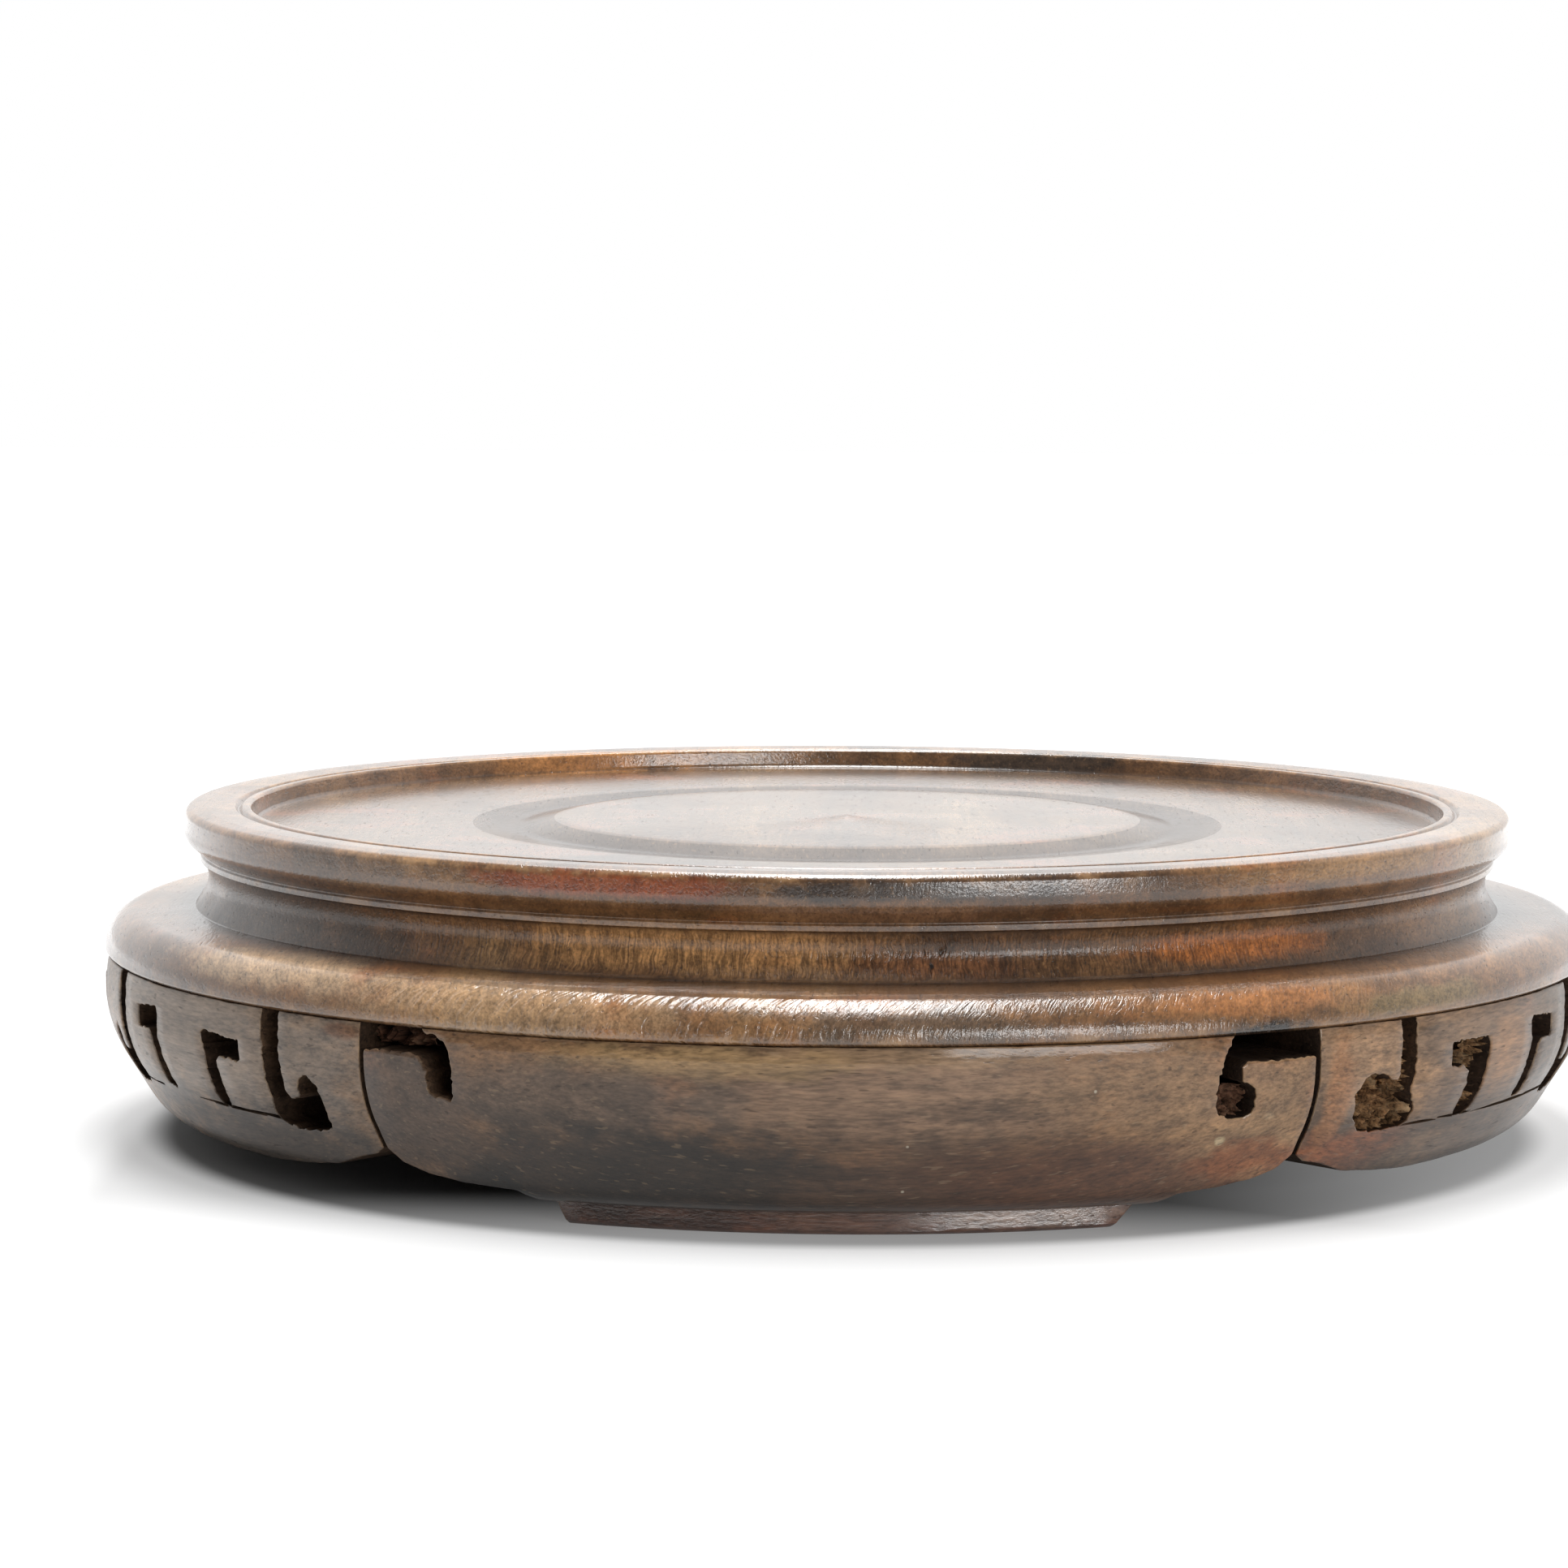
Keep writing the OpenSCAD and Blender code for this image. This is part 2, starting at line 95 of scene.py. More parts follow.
def rounded(corners: Sequence[Corner], closed: bool = False, step: float = 12.0) -> list[Point]:
    """Rounds the corners of an outline.

    Args:
        corners: Corners in order.
        closed: True if the last corner joins the first.
        step: Largest turn between two points of an arc, in degrees.

    Returns:
        The points of the rounded outline.
    """
    count = len(corners)
    places = [Vector((c.x, c.y)) for c in corners]
    halves = [0.0] * count
    reaches = [0.0] * count
    for i, corner in enumerate(corners):
        if corner.round > 0 and (closed or 0 < i < count - 1):
            halves[i] = (places[i - 1] - places[i]).angle(places[(i + 1) % count] - places[i]) / 2
            reaches[i] = corner.round / math.tan(halves[i])
    shares = [1.0] * count
    for i in range(count if closed else count - 1):
        j = (i + 1) % count
        wanted = reaches[i] + reaches[j]
        room = 0.98 * (places[j] - places[i]).length
        if wanted > room:
            shares[i] = min(shares[i], room / wanted)
            shares[j] = min(shares[j], room / wanted)
    points: list[Point] = []
    for i, here in enumerate(places):
        reach = reaches[i] * shares[i]
        if reach <= 0:
            points.append((here.x, here.y))
            continue
        to_before = (places[i - 1] - here).normalized()
        to_after = (places[(i + 1) % count] - here).normalized()
        centre = here + (to_before + to_after).normalized() * (reach / math.cos(halves[i]))
        start = here + to_before * reach - centre
        turn = start.angle_signed(here + to_after * reach - centre)
        parts = max(2, math.ceil(math.degrees(abs(turn)) / step))
        for k in range(parts + 1):
            spoke = start.copy()
            spoke.rotate(Matrix.Rotation(-turn * k / parts, 2))
            points.append((centre.x + spoke.x, centre.y + spoke.y))
    return points


def resampled(points: Sequence[Point], step: float) -> list[Point]:
    """Spaces the points of a closed outline evenly.

    Args:
        points: Points of the outline.
        step: Greatest distance between two points.

    Returns:
        The outline with points added along its longer sides.
    """
    even: list[Point] = []
    for (x0, y0), (x1, y1) in zip(points, [*points[1:], points[0]]):
        parts = max(1, math.ceil(math.hypot(x1 - x0, y1 - y0) / step))
        even.extend((x0 + (x1 - x0) * k / parts, y0 + (y1 - y0) * k / parts) for k in range(parts))
    return even


def hand_cut(points: Sequence[Point], sway: float, fray: float, seed: float) -> list[Point]:
    """Moves the points of an outline as a hand-held saw and a blunt chisel do.

    Args:
        points: Points of a closed outline in millimetres.
        sway: Size of the slow sway in millimetres.
        fray: Size of the quick roughness in millimetres.
        seed: Number that sets the pattern.

    Returns:
        The moved points.
    """
    moved: list[Point] = []
    for x, y in points:
        slow = noise.noise_vector(Vector((x * SWAY_PITCH, y * SWAY_PITCH, seed)))
        quick = noise.noise_vector(Vector((x * FRAY_PITCH, y * FRAY_PITCH, seed + FRAY_SHIFT)))
        moved.append((x + sway * slow.x + fray * quick.x, y + sway * slow.y + fray * quick.y))
    return moved


def unfolded(points: Sequence[Point], loose: Sequence[bool], least: float, sharpest: float) -> list[Point]:
    """Takes out the loose points where a closed outline folds over itself.

    Args:
        points: Points of the outline.
        loose: For each point, whether it may go.
        least: Least distance between a loose point and its neighbours.
        sharpest: Sharpest turn at a loose point, in degrees.

    Returns:
        The points that stay.
    """
    kept = [(Vector(point), free) for point, free in zip(points, loose)]
    at = 0
    while at < len(kept):
        here, free = kept[at]
        before, after = here - kept[at - 1][0], kept[(at + 1) % len(kept)][0] - here
        crowded = min(before.length, after.length) < least
        if free and (crowded or math.degrees(before.angle(after)) > sharpest):
            del kept[at]
            at = max(0, at - 2)
        else:
            at += 1
    return [(point.x, point.y) for point, _ in kept]


def eased(points: Sequence[Point], inset: float) -> list[Point]:
    """Takes out the points beside sharp corners where a closed outline, set in, would fold over itself.

    Args:
        points: Points of the outline.
        inset: Distance that its edge is set in by, less than zero for one that is set out.

    Returns:
        The points that stay.
    """
    kept = [Vector(point) for point in points]
    area = sum(a.x * b.y - b.x * a.y for a, b in zip(kept, [*kept[1:], kept[0]]))
    aside = inset * math.copysign(1.0, area)

    def corner(at: int) -> tuple[Vector, float]:
        """Finds where a point goes when the outline is set in, and how sharply the outline turns there.

        Args:
            at: Number of the point.

        Returns:
            Its place and the turn, in radians.
        """
        here = kept[at]
        before = (here - kept[at - 1]).normalized()
        after = (kept[(at + 1) % len(kept)] - here).normalized()
        middle = (before + after).normalized()
        widened = aside / max(MITRE_LEAST, middle.dot(after))
        return here + Vector((-middle.y, middle.x)) * widened, before.angle(after)

    at = 0
    while at < len(kept):
        after = (at + 1) % len(kept)
        (inner, turn), (next_inner, next_turn) = corner(at), corner(after)
        side = kept[after] - kept[at]
        if (next_inner - inner).dot(side) < SIDE_LEAST * side.length_squared:
            del kept[at if turn < next_turn else after]
            at = max(0, at - 3)
        else:
            at += 1
    return [(point.x, point.y) for point in kept]


def is_closed(piece: Piece) -> bool:
    """Tells whether each edge of a piece's mesh has two faces."""
    uses: Counter[tuple[int, int]] = Counter(key for face in piece.data.polygons for key in face.edge_keys)
    return len(uses) == len(piece.data.edges) and all(count == 2 for count in uses.values())


def deselect_all() -> None:
    """Leaves edit mode and deselects every object."""
    if bpy.context.object and bpy.context.object.mode != "OBJECT":
        bpy.ops.object.mode_set(mode="OBJECT")
    bpy.ops.object.select_all(action="DESELECT")


def make_active(piece: Piece) -> None:
    """Selects one object alone.

    Args:
        piece: Object to select.
    """
    deselect_all()
    piece.select_set(True)
    bpy.context.view_layer.objects.active = piece


def outline_curve(name: str, outlines: Iterable[Sequence[Point]], closed: bool) -> Piece:
    """Draws flat outlines as one curve object.

    Args:
        name: Name of the object.
        outlines: Outlines in metres.
        closed: True for closed outlines.

    Returns:
        The new curve object, active and selected alone.
    """
    data = bpy.data.curves.new(name, "CURVE")
    data.dimensions = "2D"
    for outline in outlines:
        spline = data.splines.new("POLY")
        spline.points.add(len(outline) - 1)
        spline.points.foreach_set("co", [c for x, y in outline for c in (x, y, 0.0, 1.0)])
        spline.use_cyclic_u = closed
    piece = bpy.data.objects.new(name, data)
    bpy.context.scene.collection.objects.link(piece)
    make_active(piece)
    return piece


def smooth(piece: Piece, degrees: float) -> None:
    """Shades a piece smooth up to an angle."""
    make_active(piece)
    bpy.ops.object.shade_smooth_by_angle(angle=math.radians(degrees))


def mount(piece: Piece, wood: Wood, *nodes: str) -> None:
    """Fixes a finished piece to the stand in place of its solids.

    Args:
        piece: Finished piece.
        wood: Its wood; not used.
        nodes: Names of the solids that it stands for.
    """
    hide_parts(*nodes)
    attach(piece, "root")
    LOG.info("%s: %d faces", piece.name, len(piece.data.polygons))


def dress(piece: Piece, *materials: Material) -> None:
    """Gives a piece its materials.

    Args:
        piece: Piece to dress.
        materials: Materials in the order of its slots.
    """
    if piece.data.materials:
        piece.data.materials.clear()
    for material in materials:
        piece.data.materials.append(material)


@dataclass(frozen=True)
class Patch:
    """Soft-edged patch of colour at an angle from the front and a height, with its half sizes in millimetres. Most are
    stains; those marked where they are listed are painted shade, shadow, highlight and reflection.

    Its edge is more uneven the larger ragged is.
    """

    angle: float
    radius: float
    height: float
    size: tuple[float, float, float]
    colour: Colour
    strength: float
    ragged: float = 1.6


@dataclass(frozen=True)
class WoodFinish:
    """Colours and surface of one wood."""

    dark: Colour
    mid: Colour
    light: Colour
    flush: Colour
    pore: Colour
    worn: Colour
    roughness: float
    coat: float
    relief: float
    contrast: float
    polish: float
    specular: float


PLATE_FINISH = WoodFinish(
    dark=(0.070, 0.033, 0.015), mid=(0.225, 0.110, 0.044), light=(0.380, 0.220, 0.095), flush=(0.340, 0.110, 0.030),
    pore=(0.030, 0.015, 0.008), worn=(0.560, 0.330, 0.155),
    roughness=0.34, coat=1.0, relief=0.6, contrast=0.8, polish=0.15, specular=0.32)
WORN_PLATE_FINISH = replace(
    PLATE_FINISH, dark=(0.060, 0.032, 0.017), mid=(0.170, 0.095, 0.045), light=(0.290, 0.185, 0.095), roughness=0.36,
    specular=0.30)
HOLLOW_PLATE_FINISH = replace(PLATE_FINISH, coat=0.50, specular=0.22)
# Dulled copy of the plate wood for the moat, also painted darker as shade.
DULL_SHADED_PLATE_FINISH = replace(
    PLATE_FINISH, dark=(0.045, 0.028, 0.018), mid=(0.110, 0.070, 0.042), light=(0.190, 0.132, 0.082),
    flush=(0.140, 0.075, 0.040), coat=0.82, roughness=0.44, specular=0.24)
APRON_FINISH = WoodFinish(
    dark=(0.095, 0.052, 0.028), mid=(0.265, 0.142, 0.068), light=(0.400, 0.238, 0.120), flush=(0.340, 0.140, 0.058),
    pore=(0.030, 0.016, 0.010), worn=(0.500, 0.350, 0.210),
    roughness=0.40, coat=0.40, relief=0.24, contrast=0.85, polish=0.12, specular=0.22)
FRET_FINISH = WoodFinish(
    dark=(0.105, 0.065, 0.040), mid=(0.270, 0.162, 0.092), light=(0.410, 0.258, 0.146), flush=(0.370, 0.175, 0.086),
    pore=(0.025, 0.015, 0.010), worn=(0.460, 0.320, 0.200),
    roughness=0.42, coat=0.40, relief=0.24, contrast=0.85, polish=0.14, specular=0.22)
PAD_FINISH = WoodFinish(
    dark=(0.070, 0.031, 0.021), mid=(0.165, 0.077, 0.049), light=(0.280, 0.150, 0.098), flush=(0.250, 0.092, 0.052),
    pore=(0.024, 0.011, 0.008), worn=(0.460, 0.290, 0.190),
    roughness=0.34, coat=0.9, relief=0.7, contrast=0.9, polish=0.20, specular=0.30)
# Sawn walls and backs: darker end grain, painted darker still with the shade that falls in the cuts and behind the
# panels.
SAWN_SHADED_FINISH = WoodFinish(
    dark=(0.012, 0.007, 0.005), mid=(0.040, 0.023, 0.014), light=(0.095, 0.056, 0.032), flush=(0.060, 0.030, 0.015),
    pore=(0.008, 0.005, 0.004), worn=(0.200, 0.130, 0.080),
    roughness=0.85, coat=0.0, relief=1.0, contrast=1.0, polish=0.30, specular=0.20)
TORN_FINISH = WoodFinish(
    dark=(0.040, 0.022, 0.012), mid=(0.340, 0.195, 0.095), light=(0.720, 0.510, 0.300), flush=(0.420, 0.190, 0.075),
    pore=(0.012, 0.007, 0.005), worn=(0.520, 0.390, 0.240),
    roughness=0.90, coat=0.0, relief=1.0, contrast=1.6, polish=0.30, specular=0.20)
# Torn wood painted darker as shade, for the cuts of the front foot, which lie in shadow.
SHADED_TORN_FINISH = WoodFinish(
    dark=(0.030, 0.014, 0.009), mid=(0.120, 0.055, 0.032), light=(0.260, 0.140, 0.085), flush=(0.200, 0.080, 0.036),
    pore=(0.012, 0.007, 0.005), worn=(0.340, 0.220, 0.140),
    roughness=0.90, coat=0.0, relief=1.0, contrast=1.5, polish=0.30, specular=0.20)
JOINERY_FINISH = WoodFinish(
    dark=(0.300, 0.190, 0.090), mid=(0.420, 0.290, 0.150), light=(0.520, 0.380, 0.210), flush=(0.450, 0.280, 0.130),
    pore=(0.180, 0.110, 0.050), worn=(0.550, 0.420, 0.250),
    roughness=0.60, coat=0.0, relief=0.30, contrast=1.0, polish=0.30, specular=0.30)

PLATE_PATCHES = (
    Patch(-19.5, 89.5, 42.1, (26.0, 5.0, 2.0), (0.320, 0.075, 0.022), 0.92),
    Patch(-44.0, 89.5, 41.5, (22.0, 5.0, 3.0), (0.150, 0.100, 0.065), 0.60),
    # Painted dark reflection on the rim face under the bead at the front.
    Patch(4.0, 89.5, 41.9, (30.0, 5.0, 1.6), (0.030, 0.020, 0.015), 0.85),
    # Golden wood in the cove, also painted lighter for the light that reaches it from the front.
    Patch(-14.0, 86.5, 34.5, (38.0, 5.0, 4.0), (0.530, 0.275, 0.105), 0.85),
    Patch(-58.0, 86.5, 34.0, (40.0, 8.0, 6.0), (0.075, 0.048, 0.032), 0.85),
    Patch(7.0, 86.5, 32.6, (14.0, 5.0, 1.9), (0.240, 0.095, 0.038), 0.70),
    Patch(33.0, 87.0, 33.6, (22.0, 5.0, 2.6), (0.500, 0.165, 0.036), 0.85),
    Patch(4.0, 99.5, 27.6, (24.0, 6.0, 3.0), (0.130, 0.084, 0.052), 0.80),
    Patch(2.0, 88.8, 39.0, (30.0, 4.0, 1.6), (0.260, 0.140, 0.075), 0.60),
    Patch(-46.0, 96.0, 29.5, (26.0, 8.0, 3.5), (0.460, 0.310, 0.180), 0.80),
    # Tan shoulder, also painted paler for the streaky highlight on it.
    Patch(-25.0, 98.0, 28.0, (32.0, 8.0, 4.5), (0.480, 0.300, 0.160), 0.80),
    Patch(30.0, 97.5, 28.6, (22.0, 5.0, 2.2), (0.440, 0.180, 0.060), 0.75),
    Patch(46.0, 99.5, 27.0, (18.0, 4.0, 2.0), (0.270, 0.195, 0.090), 0.70),
    Patch(46.0, 89.0, 42.4, (26.0, 4.0, 1.8), (0.430, 0.235, 0.095), 0.80),
    Patch(-152.0, 80.5, 43.0, (26.0, 4.0, 3.0), (0.520, 0.240, 0.080), 0.90),
    Patch(160.0, 80.8, 43.0, (54.0, 2.6, 5.0), (0.060, 0.042, 0.031), 0.92),
    # Painted shade in the hollow where the plate's edge is cut away.
    Patch(30.4, 100.0, 24.6, (8.5, 4.0, 2.3), (0.014, 0.009, 0.006), 1.00),
)
FRONT_FOOT_PATCHES = (
    Patch(4.0, 99.5, 18.0, (36.0, 14.0, 9.0), (0.290, 0.180, 0.112), 0.85),
    Patch(2.0, 100.0, 23.8, (48.0, 6.0, 2.4), (0.380, 0.240, 0.130), 0.60),
    Patch(-11.0, 99.5, 22.8, (26.0, 6.0, 2.8), (0.400, 0.250, 0.115), 0.80),
    # Painted shade on the lower apron, which faces the shadowed floor.
    Patch(0.0, 96.0, 4.0, (64.0, 30.0, 13.4), (0.080, 0.043, 0.025), 0.94, 0.8),
    Patch(-19.0, 99.0, 17.0, (28.0, 12.0, 7.0), (0.135, 0.094, 0.067), 0.85, 0.8),
    # Painted shade, darkest at the lower left.
    Patch(-17.0, 97.0, 7.5, (40.0, 20.0, 10.5), (0.024, 0.017, 0.012), 0.92, 0.8),
    # Painted shadow at the left end of the pad.
    Patch(-27.0, 94.0, 5.5, (8.0, 12.0, 3.6), (0.010, 0.008, 0.006), 0.95),
    Patch(-32.0, 98.0, 15.0, (14.0, 14.0, 13.0), (0.105, 0.068, 0.046), 0.85, 0.8),
    # Painted shade on the lower right, warmer where the front panel lights it.
    Patch(18.0, 96.0, 7.0, (32.0, 16.0, 8.5), (0.125, 0.053, 0.026), 0.85, 0.8),
    Patch(10.0, 99.5, 17.0, (14.0, 8.0, 2.2), (0.120, 0.070, 0.042), 0.60),
    Patch(23.0, 99.5, 19.0, (26.0, 10.0, 7.0), (0.310, 0.185, 0.100), 0.75),
    Patch(30.5, 96.0, 8.8, (11.0, 10.0, 3.4), (0.330, 0.115, 0.042), 0.85),
    Patch(27.4, 97.5, 11.8, (0.9, 4.0, 0.75), (0.620, 0.470, 0.280), 1.00),
    Patch(31.0, 98.5, 14.6, (0.9, 4.0, 0.60), (0.520, 0.350, 0.200), 0.80),
)
RIGHT_FRET_PATCHES = (
    Patch(44.0, 99.5, 19.0, (22.0, 10.0, 10.0), (0.500, 0.290, 0.152), 0.75),
    Patch(40.0, 96.5, 8.6, (15.0, 10.0, 4.0), (0.330, 0.110, 0.040), 0.92),
    # Painted shade on the lower part of the panel.
    Patch(60.0, 96.0, 6.0, (44.0, 20.0, 9.0), (0.105, 0.072, 0.050), 0.85),
    Patch(70.0, 99.0, 19.0, (26.0, 16.0, 12.0), (0.190, 0.140, 0.100), 0.70),
    Patch(50.0, 99.5, 17.0, (8.0, 6.0, 7.0), (0.150, 0.092, 0.056), 0.75),
    Patch(46.0, 99.5, 22.0, (9.0, 6.0, 4.0), (0.160, 0.105, 0.068), 0.70),
    Patch(57.0, 99.0, 18.5, (8.0, 6.0, 7.0), (0.420, 0.220, 0.105), 0.75),
    Patch(37.0, 99.0, 15.0, (3.0, 6.0, 12.0), (0.420, 0.190, 0.080), 0.75),
    Patch(63.0, 99.0, 16.0, (7.0, 6.0, 9.0), (0.125, 0.085, 0.058), 0.70),
)
LEFT_FRET_PATCHES = (
    # Painted grey sheen, a reflection of the pale surroundings.
    Patch(-56.0, 99.0, 19.0, (60.0, 24.0, 18.0), (0.265, 0.208, 0.162), 0.75),
    # Painted shade on the lower part of the panel.
    Patch(-52.0, 96.0, 5.5, (50.0, 20.0, 9.0), (0.055, 0.040, 0.030), 0.88),
    Patch(-37.5, 99.5, 23.5, (4.0, 4.0, 1.2), (0.240, 0.110, 0.055), 0.75),
)
PAD_PATCHES = (
    # Painted reflection: darker on the left of the pad.
    Patch(-14.0, 86.0, 1.4, (20.0, 6.0, 1.6), (0.075, 0.040, 0.030), 0.70),
    # Painted reflection: paler on the right of the pad.
    Patch(15.0, 86.0, 1.9, (18.0, 6.0, 1.6), (0.460, 0.310, 0.230), 0.75),
)


class NodeBoard:
    """Adds and links nodes in the tree of a material or of the world."""

    def __init__(self, owner: bpy.types.ID) -> None:
        """Starts on the nodes that the owner gets by itself."""
        owner.use_nodes = True
        self.owner = owner
        self.tree = owner.node_tree
        self.surface = self.tree.nodes.get("Principled BSDF")

    def add(self, kind: str, **settings: object) -> bpy.types.Node:
        """Adds a node and sets its properties.

        Args:
            kind: Node type without its prefix.
            settings: Properties of the node.

        Returns:
            The new node.
        """
        node = self.tree.nodes.new("ShaderNode" + kind)
        for key, value in settings.items():
            setattr(node, key, value)
        return node

    def feed(self, socket: Socket, value: object) -> None:
        """Links a socket to an output, or sets its value.

        Args:
            socket: Socket to feed.
            value: Output, number or colour.
        """
        if isinstance(value, Socket):
            self.tree.links.new(value, socket)
        elif isinstance(value, tuple) and socket.type == "RGBA":
            socket.default_value = (*value, 1.0)
        else:
            socket.default_value = value

    def math(self, operation: str, a: object, b: object = 0.0, clamp: bool = False) -> Socket:
        """Joins two numbers by an operation.

        Args:
            operation: Name of the operation.
            a: First number or output.
            b: Second number or output.
            clamp: True to keep the result from 0 to 1.

        Returns:
            The result's output.
        """
        node = self.add("Math", operation=operation, use_clamp=clamp)
        self.feed(node.inputs[0], a)
        self.feed(node.inputs[1], b)
        return node.outputs[0]

    def plus(self, a: object, b: object, clamp: bool = False) -> Socket:
        """Adds two numbers or outputs."""
        return self.math("ADD", a, b, clamp)

    def times(self, a: object, b: object, clamp: bool = False) -> Socket:
        """Multiplies two numbers or outputs."""
        return self.math("MULTIPLY", a, b, clamp)

    def mix(self, factor: object, a: object, b: object, blend: str = "MIX") -> Socket:
        """Mixes two colours.

        Args:
            factor: Share of the second colour.
            a: First colour or output.
            b: Second colour or output.
            blend: Way of blending.

        Returns:
            The mixed colour's output.
        """
        node = self.add("Mix", data_type="RGBA", blend_type=blend)
        self.feed(node.inputs["Factor"], factor)
        self.feed(node.inputs[6], a)
        self.feed(node.inputs[7], b)
        return node.outputs[2]

    def scaled(self, colour: Socket, factor: Socket) -> Socket:
        """Brightens or darkens a colour by a factor.

        Args:
            colour: Colour's output.
            factor: Factor's output.

        Returns:
            The scaled colour's output.
        """
        node = self.add("VectorMath", operation="SCALE")
        self.feed(node.inputs[0], colour)
        self.feed(node.inputs["Scale"], factor)
        return node.outputs[0]

    def spread(self, value: object, low: float, high: float, to_low: object = 0.0,
               to_high: object = 1.0) -> Socket:
        """Maps a number from one range to another along a smooth step.

        Args:
            value: Number's output.
            low: Start of its range.
            high: End of its range.
            to_low: Result at the start.
            to_high: Result at the end.

        Returns:
            The result's output.
        """
        node = self.add("MapRange", interpolation_type="SMOOTHSTEP")
        for key, number in zip(RANGE_KEYS, (value, low, high, to_low, to_high)):
            self.feed(node.inputs[key], number)
        return node.outputs[0]

    def polar(self, place: Socket, reach: float) -> tuple[Socket, ...]:
        """Splits a place into its way round the axis, its radius and its height.

        Args:
            place: Coordinates in metres.
            reach: Radius at which the way round is measured.

        Returns:
            The outputs of the way round from the front, the radius and the height.
        """
        parts = self.add("SeparateXYZ")
        self.feed(parts.inputs[0], place)
        x, y, z = parts.outputs
        turn = self.math("ARCTAN2", x, self.times(y, -1.0))
        radius = self.math("SQRT", self.plus(self.times(x, x), self.times(y, y)))
        return self.times(turn, reach), radius, z

    def joined(self, x: object, y: object, z: object = 0.0) -> Socket:
        """Joins three numbers to a vector.

        Args:
            x: First number or output.
            y: Second number or output.
            z: Third number or output.

        Returns:
            The vector's output.
        """
        node = self.add("CombineXYZ")
        for socket, value in zip(node.inputs, (x, y, z)):
            self.feed(socket, value)
        return node.outputs[0]

    def noise(self, place: Socket, scale: tuple[float, float, float], detail: float = 3.0,
              rough: float = 0.55, seed: float = 0.0) -> Socket:
        """Adds a noise stretched along the axes.

        Args:
            place: Coordinates in metres.
            scale: Cells in a metre along each axis.
            detail: Number of finer layers.
            rough: Share of each finer layer.
            seed: Shift of the pattern.

        Returns:
            The noise's output, about 0.5 at its middle.
        """
        mapping = self.add("Mapping")
        self.feed(mapping.inputs["Vector"], place)
        mapping.inputs["Scale"].default_value = scale
        mapping.inputs["Location"].default_value = (seed, seed * 1.7, seed * 0.6)
        node = self.add("TexNoise")
        self.feed(node.inputs["Vector"], mapping.outputs[0])
        node.inputs["Scale"].default_value = 1.0
        node.inputs["Detail"].default_value = detail
        node.inputs["Roughness"].default_value = rough
        return node.outputs["Fac"]


